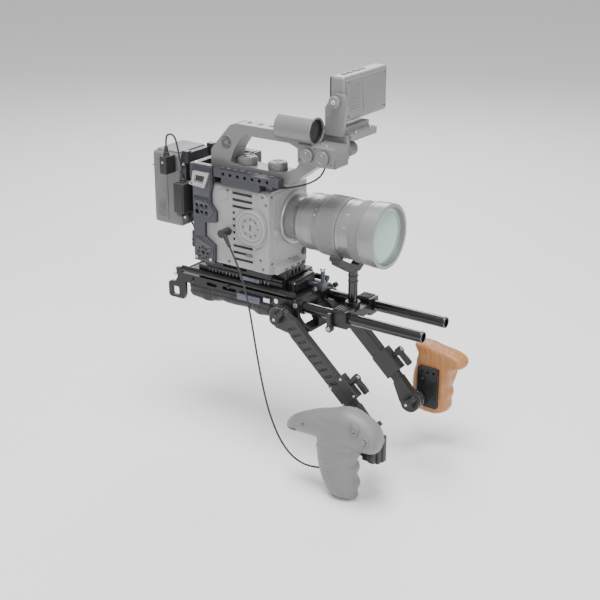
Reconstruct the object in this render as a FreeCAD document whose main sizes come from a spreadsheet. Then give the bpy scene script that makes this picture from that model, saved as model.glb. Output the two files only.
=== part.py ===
import FreeCAD, Part
import Sketcher
import math
import os
import re

# Shoulder-carried cinema camera rig.  Millimetres, +X forward along the lens,
# +Y to the operator's left, +Z up.  The origin is the middle of the shoulder
# saddle's underside, on the rig's centre plane.

DIMENSIONS = {
    # rods of the lightweight support standard
    "rod_radius": 7.5,
    "rod_bore": 6.0,
    "rod_half_spacing": 30.0,
    "rod_height": 20.0,
    "rod_front": 300.0,
    "rod_rear": 78.0,
    "collar_radius": 10.0,
    "collar_length": 6.0,
    # shoulder frame
    "plate_inner": 38.5,
    "plate_thick": 5.0,
    "plate_top": 31.0,
    "frame_rear": -92.0,
    "frame_front": 112.0,
    "base_bottom": 18.0,
    "base_top": 31.0,
    "hook_rear": -110.0,
    "hook_bottom": -9.0,
    "hook_pin_radius": 3.2,
    "pad_rear": -78.0,
    "pad_front": 76.0,
    "pad_lobe_depth": 5.0,
    "pad_width": 86.0,
    "front_floor": -9.0,
    "front_reach": 134.0,
    # dovetail clamp on the frame
    "clamp_rear": -58.0,
    "clamp_front": 85.5,
    "clamp_floor_top": 40.0,
    "clamp_jaw_top": 48.0,
    "clamp_jaw_inner": 30.5,
    "clamp_half_width": 37.0,
    "rail_radius": 4.2,
    "rail_y": 41.0,
    "rail_z": 37.4,
    "rail_rear": -85.0,
    "rail_front": 108.0,
    "block_front": 97.0,
    "block_top": 50.0,
    "block_half_width": 27.0,
    "slide_gap": 0.4,
    # camera sled and riser
    "sled_rear": -46.0,
    "sled_front": 85.0,
    "sled_top": 52.0,
    "riser_rear": -44.0,
    "riser_front": 87.0,
    "riser_top": 64.5,
    "riser_half_width": 43.0,
    # camera body
    "body_rear": -46.0,
    "body_front": 80.0,
    "body_half_width": 57.0,
    "body_left": 50.0,
    "body_top": 179.0,
    "body_round": 6.0,
    "lens_height": 132.7,
    "wedge_reach": 88.0,
    # cage
    "cage_gap": 0.4,
    "cage_thick": 5.0,
    "cage_rear": -44.0,
    "cage_arm_front": 97.0,
    "cage_arm_bottom": 189.0,
    "cage_arm_top": 200.0,
    "cage_arm_gap": 15.5,
    "cage_arm_width": 15.0,
    # lens
    "lens_mount_radius": 30.6,
    "lens_barrel_radius": 38.0,
    "zoom_ring_radius": 40.5,
    "lens_mid_radius": 39.6,
    "focus_ring_radius": 40.9,
    "lens_front_radius": 42.4,
    "lens_rim_radius": 43.3,
    "filter_radius": 38.5,
    "zoom_rear": 139.0,
    "zoom_front": 170.0,
    "focus_rear": 190.0,
    "focus_front": 206.0,
    "lens_front": 229.0,
    "ring_gap": 0.3,
    # battery and power
    "battery_rear": -136.0,
    "battery_front": -85.0,
    "battery_right": -38.0,
    "battery_left": 28.0,
    "battery_bottom": 97.0,
    "battery_top": 201.0,
    "battery_round": 5.0,
    "battery_plate_thick": 8.0,
    # handle, set to the right of the lens axis
    "handle_y": -31.5,
    "handle_half_width": 14.0,
    "handle_foot_bottom": 189.0,
    "bar_bottom": 246.8,
    "bar_top": 260.8,
    "front_block_half_width": 17.0,
    "mic_radius": 17.5,
    "mic_bore": 15.5,
    "mic_rear": 86.0,
    "mic_front": 141.0,
    "mic_y": -37.5,
    "mic_z": 265.5,
    "dial_radius": 9.0,
    "dial_depth": 3.0,
    "knob_radius": 12.3,
    "knob_height": 9.0,
    # monitor
    "monitor_left": -13.0,
    "monitor_width": 105.0,
    "monitor_front": 165.0,
    "monitor_thick": 21.0,
    "monitor_bottom": 273.5,
    "monitor_top": 332.5,
    "monitor_pivot_z": 302.0,
    "monitor_pivot_x": 157.0,
    # arms
    "arm_angle": 42.5,
    "pivot_x": 95.0,
    "pivot_z": 9.5,
    "arm_inner": 50.0,
    "arm_thick": 11.0,
    "arm_tube_offset": 8.0,
    "arm_half_height": 10.5,
    "arm_start": 16.0,
    "arm_length": 150.0,
    "arm_reach": 194.0,
    "arm_wall": 2.0,
    "slider_gap": 0.3,
    "boss_radius": 14.0,
    "chevron_pitch": 11.5,
    "chevron_count": 9.0,
    "lever_thick": 8.0,
    # lens support
    "support_x": 179.0,
    "support_length": 22.0,
    "post_radius": 6.5,
    "post_x": 175.0,
    "post_top": 77.6,
}

document = FreeCAD.newDocument("CameraRig")
sheet = document.addObject("Spreadsheet::Sheet", "Dims")
for row, (alias, value) in enumerate(DIMENSIONS.items(), start=1):
    sheet.set("A%d" % row, alias)
    sheet.set("B%d" % row, str(value))
    sheet.setAlias("B%d" % row, alias)
document.recompute()

WORD = re.compile(r"[a-z][a-z_]+")
finished = []


def bound(formula):
    """A formula over the sheet's names as FreeCAD reads it."""
    def name(match):
        word = match.group(0)
        return "Dims." + word if word in DIMENSIONS else word
    return WORD.sub(name, str(formula))


def dim(alias):
    """The sheet's number for one name."""
    return float(sheet.get(alias))


def bind(item, formulas):
    for field, formula in formulas.items():
        item.setExpression(field, bound(formula))
    return item


def place(item, at, turn=None):
    """Puts an object's own origin at three formulas, turned about an axis by degrees."""
    if turn:
        axis, angle = turn
        item.Placement = FreeCAD.Placement(FreeCAD.Vector(), FreeCAD.Rotation(axis, angle))
    for letter, formula in zip("xyz", at):
        item.setExpression("Placement.Base." + letter, bound(formula))
    return item


AXIS = {"X": FreeCAD.Vector(1, 0, 0), "Y": FreeCAD.Vector(0, 1, 0), "Z": FreeCAD.Vector(0, 0, 1)}
STAND = {"X": (AXIS["Y"], 90), "Y": (AXIS["X"], -90), "Z": None}


def box(x_low, x_high, y_low, y_high, z_low, z_high):
    item = document.addObject("Part::Box", "Block")
    sides = {"Length": (x_low, x_high), "Width": (y_low, y_high), "Height": (z_low, z_high)}
    bind(item, {side: "(%s) - (%s)" % (high, low) for side, (low, high) in sides.items()})
    return place(item, (x_low, y_low, z_low))


def cylinder(radius, start, length, axis="Z"):
    """A round bar from the start point along an axis."""
    item = document.addObject("Part::Cylinder", "Round")
    bind(item, {"Radius": radius, "Height": length})
    return place(item, start, STAND[axis])


def cone(first, second, start, length, axis="Z"):
    item = document.addObject("Part::Cone", "Taper")
    bind(item, {"Radius1": first, "Radius2": second, "Height": length})
    return place(item, start, STAND[axis])


def plate(plane, corners, low, high):
    """A sketched outline padded from low to high along the plane's axis.

    Each corner is (across, up) or (across, up, radius): the radius rounds it.
    """
    body = document.addObject("PartDesign::Body", "Plate")
    sketch = body.newObject("Sketcher::SketchObject", "Outline")
    origin = {item.Role: item for item in body.Origin.OriginFeatures}
    sketch.AttachmentSupport = [(origin[plane + "_Plane"], "")]
    sketch.MapMode = "FlatFace"
    offset = "-(%s)" % high if plane == "XZ" else low
    sketch.setExpression("AttachmentOffset.Base.z", bound(offset))
    pieces = outline_pieces(corners)
    for piece in pieces:
        sketch.addGeometry(piece)
    for index in range(len(pieces)):
        meeting = (index, 2, (index + 1) % len(pieces), 1)
        if isinstance(pieces[index], Part.ArcOfCircle):
            meeting = (index, end_of_arc(pieces[index], pieces[(index + 1) % len(pieces)])) + meeting[2:]
        following = pieces[(index + 1) % len(pieces)]
        if isinstance(following, Part.ArcOfCircle):
            meeting = meeting[:3] + (start_of_arc(following, pieces[index]),)
        sketch.addConstraint(Sketcher.Constraint("Coincident", *meeting))
        sketch.addConstraint(Sketcher.Constraint("Block", index))
    pad = body.newObject("PartDesign::Pad", "Thickness")
    pad.Profile = sketch
    pad.setExpression("Length", bound("(%s) - (%s)" % (high, low)))
    body.Tip = pad
    return body


def outline_pieces(corners):
    """Lines and tangent arcs through a loop of corners, each arc within its two sides."""
    spots = [FreeCAD.Vector(number(corner[0]), number(corner[1]), 0) for corner in corners]
    count = len(spots)
    entries = []
    for index, corner in enumerate(corners):
        back = spots[index - 1] - spots[index]
        ahead = spots[(index + 1) % count] - spots[index]
        if len(corner) == 2:
            entries.append((spots[index], None, spots[index]))
            continue
        half = back.getAngle(ahead) / 2
        reach = min(corner[2] / math.tan(half), 0.45 * back.Length, 0.45 * ahead.Length)
        radius = reach * math.tan(half)
        first = spots[index] + back.normalize() * reach
        last = spots[index] + ahead.normalize() * reach
        inward = (back + ahead).normalize()
        centre = spots[index] + inward * (radius / math.sin(half))
        entries.append((first, short_arc(centre, radius, first, last), last))
    pieces = []
    for index, (first, arc, last) in enumerate(entries):
        if arc:
            pieces.append(arc)
        pieces.append(Part.LineSegment(last, entries[(index + 1) % count][0]))
    return pieces


def short_arc(centre, radius, first, last):
    """The shorter arc between two points of a circle, anticlockwise as sketches keep them."""
    angles = [math.atan2(point.y - centre.y, point.x - centre.x) for point in (first, last)]
    if (angles[1] - angles[0]) % math.tau > math.pi:
        angles.reverse()
    low = angles[0]
    high = low + (angles[1] - low) % math.tau
    return Part.ArcOfCircle(Part.Circle(centre, AXIS["Z"], radius), low, high)


def start_of_arc(arc, before):
    """Which end of an arc, 1 or 2, meets the piece before it."""
    joint = before.EndPoint
    return 1 if arc.StartPoint.distanceToPoint(joint) < arc.EndPoint.distanceToPoint(joint) else 2


def end_of_arc(arc, after):
    """Which end of an arc, 1 or 2, meets the piece after it."""
    joint = after.StartPoint
    return 1 if arc.StartPoint.distanceToPoint(joint) < arc.EndPoint.distanceToPoint(joint) else 2


def number(formula):
    """The value of a sum of names and numbers, each with its own sign and factor."""
    if not isinstance(formula, str):
        return float(formula)
    total = 0.0
    for sign, term in re.findall(r"([+-]?)\s*([\w.]+(?:\s*[*/]\s*[\w.]+)*)", formula):
        product = 1.0
        for operator, word in re.findall(r"([*/]?)\s*([\w.]+)", term):
            value = dim(word) if word in DIMENSIONS else float(word)
            product = product / value if operator == "/" else product * value
        total += -product if sign == "-" else product
    return total


def join(*pieces):
    if len(pieces) == 1:
        return pieces[0]
    item = document.addObject("Part::MultiFuse", "Union")
    item.Shapes = list(pieces)
    return item


def cut(base, *tools):
    item = document.addObject("Part::Cut", "Cut")
    item.Base = base
    item.Tool = join(*tools)
    return item


def rounded(base, radius, chosen):
    """Rounds the edges for which chosen(edge) holds."""
    document.recompute()
    item = document.addObject("Part::Fillet", "Rounded")
    item.Base = base
    amount = number(radius)
    edges = enumerate(base.Shape.Edges, start=1)
    item.Edges = [(index, amount, amount) for index, edge in edges if chosen(edge)]
    return item


def along(letter):
    """An edge filter: straight edges that run along an axis."""
    def chosen(edge):
        if edge.Curve.TypeId != "Part::GeomLine":
            return False
        return abs(edge.tangentAt(edge.FirstParameter).dot(AXIS[letter])) > 0.99
    return chosen


def straight(edge):
    return edge.Curve.TypeId == "Part::GeomLine"


def keep(node, item):
    """Names a sub-part: the name is its file's."""
    item.Label = node
    finished.append(item)
    return item


def shaped(node, shape):
    """A sub-part whose shape is made by Part's own functions."""
    item = document.addObject("Part::Feature", "Shaped")
    item.Shape = shape
    return keep(node, item)


def group(*pieces):
    """Separate solids in one node."""
    item = document.addObject("Part::Compound", "Group")
    item.Links = list(pieces)
    return item


def mirrored(item):
    """A copy on the other side of the centre plane."""
    copy = document.addObject("Part::Mirroring", "Mirror")
    copy.Source = item
    copy.Normal = AXIS["Y"]
    copy.Base = FreeCAD.Vector()
    return copy


# ---------------------------------------------------------------- shoulder frame

def side_plate():
    """One side of the frame: a hook ring behind, a shield that curves down in front."""
    outline = [
        ("hook_rear", "plate_top - 16", 5),
        ("hook_rear", "hook_bottom", 5),
        ("hook_rear + 27", "hook_bottom", 3),
        ("hook_rear + 31", "hook_bottom + 8", 2),
        ("hook_rear + 31", "base_bottom", 1),
        ("pad_front", "base_bottom", 1),
        ("pad_front + 3", "front_floor", 2),
        ("front_reach", "front_floor", 2),
        ("front_reach", "front_floor + 5", 2),
        ("front_reach - 8", "front_floor + 8", 5),
        ("front_reach - 17", "front_floor + 18", 6),
        ("front_reach - 20", "plate_top", 8),
        ("hook_rear + 26", "plate_top", 2),
        ("hook_rear + 22", "plate_top + 7", 2),
        ("hook_rear + 14", "plate_top + 7", 2),
        ("hook_rear + 17", "plate_top - 7", 4),
        ("hook_rear + 12", "plate_top - 16", 4),
    ]
    solid = plate("XZ", outline, "-plate_inner - plate_thick", "-plate_inner")
    outer = "-plate_inner - plate_thick - 1"
    through = "plate_thick + 2"
    eye = rounded(
        box("hook_rear + 6.5", "hook_rear + 19", outer, "-plate_inner + 1", "hook_bottom + 4", "hook_bottom + 17"),
        2.5, along("Y"))
    slot = rounded(box(-40, -22, outer, "-plate_inner + 1", 21.5, 26.5), 2.2, along("Y"))
    window = rounded(box(-12, 12, outer, "-plate_inner + 1", 21.5, 26.5), 2.2, along("Y"))
    pivot = cylinder("boss_radius / 2 - 2", ("pivot_x", outer, "pivot_z"), through, "Y")
    return cut(solid, eye, slot, window, pivot)


def shoulder_frame():
    right = keep("right_side_plate", side_plate())
    keep("left_side_plate", mirrored(right))
    floor = box("frame_rear + 6", "pad_front", "-plate_inner", "plate_inner", "base_bottom", "base_top")
    holder = box("pad_front", "frame_front", "-plate_inner", "plate_inner", "base_bottom - 8", "base_top")
    relief = box("frame_rear + 20", 52, -15, 15, "base_bottom - 1", "base_bottom + 5")
    collars = [
        cylinder("collar_radius", ("frame_front - 1", y, "rod_height"), "collar_length + 1", "X")
        for y in ("-rod_half_spacing", "rod_half_spacing")
    ]
    bores = [
        cylinder("rod_radius", ("rod_rear", y, "rod_height"), "frame_front + collar_length - rod_rear + 2", "X")
        for y in ("-rod_half_spacing", "rod_half_spacing")
    ]
    pin_seats = cylinder("boss_radius / 2 - 2", ("pivot_x", "-plate_inner - 1", "pivot_z"), 4, "Y")
    pin_seats_left = cylinder("boss_radius / 2 - 2", ("pivot_x", "plate_inner - 3", "pivot_z"), 4, "Y")
    trims = [
        box("frame_front - 2", "frame_front + collar_length + 1", low, high, "base_bottom - 9", "base_top")
        for low, high in (("-plate_inner - 3", "-plate_inner"), ("plate_inner", "plate_inner + 3"))
    ]
    keep("base_plate", cut(join(floor, holder, *collars), relief, *bores, *trims, pin_seats, pin_seats_left))
    tub_floor = box("front_reach - 18", "front_reach", "-plate_inner", "plate_inner", "front_floor", "front_floor + 4")
    fascia = plate("XZ", [
        ("front_reach - 4", "front_floor"),
        ("front_reach", "front_floor"),
        ("front_reach", "front_floor + 12"),
        ("front_reach - 14", "front_floor + 24"),
        ("front_reach - 18", "front_floor + 24"),
    ], -20, 20)
    keep("cross_plate", join(tub_floor, fascia))


def shoulder_pad():
    """The cushion under the frame, arched along X to sit on the shoulder."""
    underside = [
        ("pad_rear", "base_bottom"),
        ("pad_rear", "4 - pad_lobe_depth", 5),
        ("pad_rear + 30", "-pad_lobe_depth", 9),
        ("pad_rear + 54", "0", 12),
        ("pad_rear + 100", "0", 12),
        ("pad_front - 26", "-pad_lobe_depth", 9),
        ("pad_front - 1", "2 - pad_lobe_depth", 5),
        ("pad_front - 1", "base_bottom"),
    ]
    cushion = plate("XZ", underside, "-pad_width / 2", "pad_width / 2")
    keep("shoulder_pad", cushion)


def rods():
    tubes = []
    for y in ("-rod_half_spacing", "rod_half_spacing"):
        tube = cylinder("rod_radius", ("rod_rear", y, "rod_height"), "rod_front - rod_rear", "X")
        hollow = cylinder("rod_bore", ("rod_rear - 1", y, "rod_height"), "rod_front - rod_rear + 2", "X")
        tubes.append(cut(tube, hollow))
    keep("rods", group(*tubes))


def dovetail_clamp():
    floor = box("clamp_rear", "clamp_front", "-clamp_half_width", "clamp_half_width", "base_top", "clamp_floor_top")
    jaws = [
        box("clamp_rear", "clamp_front", "-clamp_half_width", "-clamp_jaw_inner", "clamp_floor_top - 1", "clamp_jaw_top"),
        box("clamp_rear", "clamp_front", "clamp_jaw_inner", "clamp_half_width", "clamp_floor_top - 1", "clamp_jaw_top"),
    ]
    rails = [
        cylinder("rail_radius", ("rail_rear", y, "rail_z"), "rail_front - rail_rear", "X")
        for y in ("-rail_y", "rail_y")
    ]
    keep("dovetail_clamp", join(floor, *jaws, *rails))
    block = rounded(
        box("clamp_front", "block_front", "-block_half_width", "block_half_width", "base_top", "block_top"),
        3, straight)
    button = rounded(box("block_front - 1", "block_front + 2.5", -22, -4, "base_top + 5", "block_top - 4"), 1, straight)
    keep("front_block", join(block, button))


def latch_levers():
    """Two long release levers on the right side."""
    for node, x, far, y, z_low, z_high in (
            ("sled_latch", 19.5, 50, "-clamp_half_width - 2.65", "rail_z + rail_radius + 0.5", "clamp_jaw_top + 0.4"),
            ("pad_latch", 18.5, 55, "-plate_inner - plate_thick - 2.65", "15", "24")):
        hub = cylinder(2.35, (x, y, z_low), "(%s) - (%s)" % (z_high, z_low))
        blade = rounded(box(x - 0.2, far, y + " - 2.3", y + " + 2.3", z_low, z_high), 1, along("X"))
        keep(node, join(hub, blade))


def lock_screw():
    """The knurled screw with an upright handle in front of the block."""
    shaft = cylinder(3, ("block_front", 10, 38), 18, "X")
    hub = cylinder(6.5, ("block_front + 17", 10, 38), 9, "X")
    stalk = cylinder(3, ("block_front + 23", 10, 40), 22)
    keep("lock_screw", join(shaft, hub, stalk))


def fittings():
    """Screw heads, a round-ended stop and the bar between the hooks."""
    heads = [
        rounded(box(60, 72, "-plate_inner - plate_thick - 3.7", "-plate_inner - plate_thick", 20, 27), 1.5, straight),
        cylinder("hook_pin_radius", ("hook_rear + 8", "-plate_inner", "plate_top - 3 - hook_pin_radius"),
                 "2 * plate_inner", "Y"),
    ]
    for x in (81, 112):
        heads.append(cylinder(3.4, (x, "-plate_inner - plate_thick - 1.5", 25), 1.5, "Y"))
    for x in (-60, 40):
        heads.append(cylinder(3.4, (x, "plate_inner + plate_thick", 25), 1.5, "Y"))
    keep("frame_fittings", group(*heads))


shoulder_frame()
shoulder_pad()
rods()
dovetail_clamp()
latch_levers()
lock_screw()
fittings()


# ---------------------------------------------------------------- lens support

def lens_support():
    rear = "support_x - support_length / 2"
    front = "support_x + support_length / 2"
    bridge = box(rear, front, -20, 20, 12, 25)
    clamps = []
    for y in ("-rod_half_spacing", "rod_half_spacing"):
        clamps.append(rounded(box(rear, front, y + " - 11", y + " + 11", 7, 31), 3, along("X")))
    bores = [
        cylinder("rod_radius + 0.05", (rear + " - 1", y, "rod_height"), "support_length + 2", "X")
        for y in ("-rod_half_spacing", "rod_half_spacing")
    ]
    socket = cylinder("post_radius + 0.05", ("post_x", 0, 0), 60)
    keep("support_clamp", cut(join(bridge, *clamps, cylinder(10, ("post_x", 0, 12), 20)), *bores, socket))
    post = cylinder("post_radius", ("post_x", 0, 8), "post_top - 8")
    keep("support_post", post)
    seat = [
        (-44, "post_top + 25", 1.5),
        (-37, "post_top + 25", 1.5),
        (-2, "post_top + 6", 2),
        (2, "post_top + 6", 2),
        (37, "post_top + 25", 1.5),
        (44, "post_top + 25", 1.5),
        (44, "post_top + 18", 1.5),
        (8, "post_top - 3", 2),
        (-8, "post_top - 3", 2),
        (-44, "post_top + 18", 1.5),
    ]
    saddle = plate("YZ", seat, "post_x - 6", "post_x + 6")
    rollers = [cylinder(4.4, ("post_x - 8", y, "post_top + 26"), 16, "X") for y in (-42, 42)]
    keep("support_cradle", cut(join(saddle, *rollers), cylinder("post_radius", ("post_x", 0, "post_top - 12"), 12)))


def clamp_lever(node, side):
    """A lever with its hub low on the outside of a rod clamp, wing up."""
    face = "-rod_half_spacing - 11" if side < 0 else "rod_half_spacing + 11"
    low, high = (face + " - 7", face + " - 0.3") if side < 0 else (face + " + 0.3", face + " + 7")
    hub = cylinder(5, (168, low, 6), "6.7", "Y")
    wing = rounded(box(164, 170, low, high, 6, 27), 1.5, straight)
    keep(node, join(hub, wing))


lens_support()
clamp_lever("right_rod_lever", -1)
clamp_lever("left_rod_lever", 1)


# ---------------------------------------------------------------- camera sled, cage and body

def camera_mounting():
    sled = box("sled_rear", "sled_front", "-clamp_jaw_inner + slide_gap", "clamp_jaw_inner - slide_gap",
               "clamp_floor_top + slide_gap", "sled_top")
    cap = box("sled_rear", "sled_front", -36, 36, "clamp_jaw_top + 1.2", "sled_top")
    keep("sled_plate", join(sled, cap))
    deck = rounded(box("riser_rear", "riser_front - 16", "-riser_half_width", "riser_half_width", "sled_top", "riser_top"),
                   4, along("Z"))
    tongue = rounded(box("riser_front - 24", "riser_front", -30, 16, "sled_top", "riser_top"), 4, along("Z"))
    riser = join(deck, tongue)
    slots = [
        box("riser_front - 4", "riser_front + 1", y, y + 4.5, "sled_top + 3", "riser_top - 3")
        for y in (-17, -9, -1)
    ]
    side_slot = box(-10, 30, "-riser_half_width - 1", "-riser_half_width + 3", "sled_top + 4", "riser_top - 4")
    keep("riser_plate", cut(riser, *slots, side_slot))


def cage():
    """Side plate on the right, and a top frame with an arm each side of the handle."""
    near = "-body_half_width - cage_gap"
    outline = [
        ("cage_rear", "sled_top + 13", 1.5),
        ("cage_rear", 202.5, 2),
        (-10, 202.5, 2),
        (-10, 177, 6),
        (-14, 163, 3),
        (-14, 150, 3),
        (-5, 139, 4),
        (-5, 124, 3),
        (-25, 122, 3),
        (-25.5, 101, 3),
        (-8, 91, 3),
        (-9.5, "sled_top + 13", 1.5),
    ]
    side = plate("XZ", outline, near + " - cage_thick", near)
    outside = near + " - cage_thick - 1"
    holes = []
    for column, x in enumerate((-37, -29, -21)):
        for line, z in enumerate((145, 136)):
            radius = 3.4 if (column, line) == (0, 1) else 2.2
            holes.append(cylinder(radius, (x, outside, z), "cage_thick + 2", "Y"))
    centre = (-28.6, 78.4)
    holes.append(cylinder(2.4, (centre[0], outside, centre[1]), "cage_thick + 2", "Y"))
    for turn in range(8):
        angle = math.radians(45 * turn)
        spot = (centre[0] + 8 * math.cos(angle), outside, centre[1] + 8 * math.sin(angle))
        holes.append(cylinder(1.3, spot, "cage_thick + 2", "Y"))
    keep("cage_side", cut(side, *holes))

    arms = []
    for y_low, y_high in (("handle_y - cage_arm_gap - cage_arm_width", "handle_y - cage_arm_gap"),
                          ("handle_y + cage_arm_gap", "handle_y + cage_arm_gap + cage_arm_width")):
        arm = rounded(box(-9.6, "cage_arm_front", y_low, y_high, "cage_arm_bottom", "cage_arm_top"), 2.5, along("Z"))
        sockets = [cylinder(2.3, (x, y_low + " - 1", 194.5), "cage_arm_width + 2", "Y") for x in range(8, 92, 12)]
        top_holes = [
            cylinder(2.0, (x, y_low + " + cage_arm_width / 2", "cage_arm_top - 3"), 5)
            for x in range(2, 92, 12)
        ]
        foot = box(4, "cage_arm_front - 30", y_low + " + 1", y_high + " - 1", "body_top", "cage_arm_bottom + 1")
        arms.append(cut(join(arm, foot), *sockets, *top_holes))
    bridge = box(-52, -9.6, "-body_half_width - 0.4", "body_left - 2", "body_top", "cage_arm_top")
    shoe = box(-43, -8, "handle_y - cage_arm_gap", "handle_y + cage_arm_gap", "cage_arm_bottom", "cage_arm_top + 1")
    keep("cage_top", cut(join(bridge, *arms), shoe))

    clip_face = near + " - cage_thick"
    frame = plate("XZ", [
        (-39.5, 193, 1.5), (-12.5, 193, 1.5), (-21, 171, 2), (-48, 173, 1.5), (-46, 177, 1.5), (-43, 178, 1),
    ], clip_face + " - 4", clip_face)
    slot = plate("XZ", [
        (-36, 188, 1.5), (-19, 188, 1.5), (-24, 177, 1.5), (-39, 178, 1.5),
    ], clip_face + " - 5", clip_face + " - 1.5")
    keep("cable_clip", cut(frame, slot))


def camera_body():
    """The camera's shell: vents and a raised disc on the right, a chin under the lens."""
    gland = box(62, 74, -46, -38, "body_top - 1", 184)
    shell = rounded(box("body_rear", "body_front", "-body_half_width", "body_left", "riser_top", "body_top"),
                    "body_round", along("X"))
    corner = plate("XY", [("body_front - 22", "body_left + 1"), ("body_front + 1", "body_left - 22"),
                          ("body_front + 1", "body_left + 1")], "riser_top - 1", "body_top + 1")
    chin = plate("XZ", [
        ("body_front - 2", "riser_top + 0.2"), ("wedge_reach", "riser_top + 0.2", 2), ("wedge_reach", "riser_top + 7", 3),
        ("body_front - 2", "riser_top + 13"),
    ], -48, 6)
    mount = cylinder("lens_mount_radius + 6", ("body_front - 1", 0, "lens_height"), 4, "X")
    buttons = [
        cylinder(4, ("body_front - 1", -43.5, 120), 4, "X"),
        cylinder(3.4, ("body_front - 1", 22, 78), 3, "X"),
    ]
    seat = cylinder(25, (51, "-body_half_width - 2.5", 127), 5, "Y")
    ring = cut(cylinder(19.5, (51, "-body_half_width - 4", 127), 3, "Y"),
               cylinder(14, (51, "-body_half_width - 5", 127), 3, "Y"))
    vents = []
    for index in range(11):
        z = 76 + 9.2 * index
        far = 23 if abs(z + 2 - 127) < 24 else 52
        vents.append(box(19, far, "-body_half_width - 1", "-body_half_width + 3", z, z + 4))
    keep("camera_body", cut(join(cut(shell, corner), chin, mount, seat, ring, gland, *buttons), *vents))


camera_mounting()
cage()
camera_body()


# ---------------------------------------------------------------- lens

def lens():
    def drum(radius, rear, front):
        return cylinder(radius, (rear, 0, "lens_height"), "(%s) - (%s)" % (front, rear), "X")

    core = join(
        drum("lens_mount_radius", "body_front + 3", 99),
        cone("lens_mount_radius", "lens_barrel_radius - 1", (98.5, 0, "lens_height"), 9, "X"),
        drum("lens_barrel_radius - 1", 107, 114),
        drum("lens_barrel_radius", 113.5, 132),
        cone("lens_barrel_radius", "zoom_ring_radius", (131.5, 0, "lens_height"), 7.5, "X"),
        drum("lens_barrel_radius - 4", "zoom_rear - 1", "zoom_front + 1"),
        drum("lens_mid_radius", "zoom_front", "focus_rear"),
        drum("lens_barrel_radius - 2", "focus_rear - 1", "focus_front + 1"),
        drum("lens_front_radius", "focus_front", "lens_front - 12"),
        drum("lens_rim_radius", "lens_front - 13", "lens_front"),
    )
    keep("lens_barrel", cut(core, drum("filter_radius", "lens_front - 8", "lens_front + 1")))
    for node, radius, inner, rear, front in (
            ("zoom_ring", "zoom_ring_radius", "lens_barrel_radius - 4", "zoom_rear", "zoom_front"),
            ("focus_ring", "focus_ring_radius", "lens_barrel_radius - 2", "focus_rear", "focus_front")):
        sleeve = drum(radius, rear + " + ring_gap", front + " - ring_gap")
        keep(node, cut(sleeve, drum(inner + " + 0.08", rear, front)))
    keep("lens_glass", drum("filter_radius - 0.5", "lens_front - 8", "lens_front - 5"))


lens()


# ---------------------------------------------------------------- battery and power

def battery_pack():
    case = box("battery_rear", "battery_front", "battery_right", "battery_left", "battery_bottom", "battery_top")
    keep("battery", rounded(case, "battery_round", straight))
    front = "battery_front"
    wide = box(front, front + " + battery_plate_thick", "battery_right + 2", "battery_left - 2", 105, 203)
    neck = box(front + " + battery_plate_thick - 1", "body_rear", "battery_right + 8", "battery_left - 4", 112, 178)
    hooks = [box(front + " + 2", front + " + 12", y, y + 8, 190, 207) for y in (-36, 18)]
    keep("battery_plate", join(wide, neck, *hooks))


def power_lead():
    """A plug on the battery's side and a converter box, each with its lead's strain relief."""
    plug = rounded(box(-105, -93, -59, "battery_right", 176, 201), 1.5, straight)
    relief = cone(3.6, 2.4, (-99.2, -50, 200), 13.5)
    keep("battery_plug", join(plug, relief))
    case = rounded(box(-79.5, -61.5, -62, "battery_right - 0.3", 126, 168), 1.5, straight)
    bracket = box(-76, -64, "battery_right - 1", "battery_right + 8", 134, 160)
    upper = cone(3.6, 2.4, (-71.5, -50, 167), 14)
    keep("converter_box", join(case, bracket, upper))


def outlet():
    barrel = cylinder(4.2, (-55, -47, 78), 22)
    stub = cylinder(3.5, (-55, -47, 83), "body_rear + 55", "X")
    keep("power_outlet", join(barrel, stub))


battery_pack()
power_lead()
outlet()


# ---------------------------------------------------------------- handle

def top_handle():
    side = [
        (-25, "handle_foot_bottom", 1.5),
        (-24, 221, 6),
        (9, 258, 6),
        (21, "bar_top", 3),
        (113, "bar_top", 1),
        (117, 255, 1),
        (139, 249.5, 1),
        (173, 249.5, 2),
        (176, 223, 2),
        (147, 222, 3),
        (101, "handle_foot_bottom", 1.5),
    ]
    window = [
        (7, 205.3, 3),
        (15, 226, 6),
        (30, "bar_bottom", 6),
        (103, "bar_bottom", 6),
        (117, 242, 6),
        (122, 227, 6),
        (115, 216, 6),
        (95, 205.3, 3),
    ]
    frame = plate("XZ", side, "handle_y - handle_half_width", "handle_y + handle_half_width")
    opening = plate("XZ", window, "handle_y - handle_half_width - 1", "handle_y + handle_half_width + 1")
    head = rounded(box(119, 174, "handle_y - front_block_half_width", "handle_y + front_block_half_width", 223, 249.8),
                   3, along("X"))
    tube = cylinder("mic_radius", ("mic_rear", "mic_y", "mic_z"), "mic_front - mic_rear", "X")
    bore = cylinder("mic_bore", ("mic_rear - 1", "mic_y", "mic_z"), "mic_front - mic_rear + 2", "X")
    clamp = rounded(box(117, 136, "mic_y + 12", "mic_y + 23", 248, 270), 2, straight)
    holes = [cylinder(2.8, (x, "handle_y", "bar_top - 6"), 8) for x in (31, 49, 67)]
    keep("top_handle", cut(join(cut(frame, opening), head, tube, clamp), bore, *holes))
    dial_low = "handle_y - front_block_half_width - dial_depth - 0.3"
    for node, x in (("rear_dial", 134), ("front_dial", 158)):
        keep(node, cylinder("dial_radius", (x, dial_low, 236), "dial_depth", "Y"))
    for node, x in (("rear_handle_knob", 27), ("front_handle_knob", 76)):
        keep(node, cylinder("knob_radius", (x, "handle_y", 205.7), "knob_height"))


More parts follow.
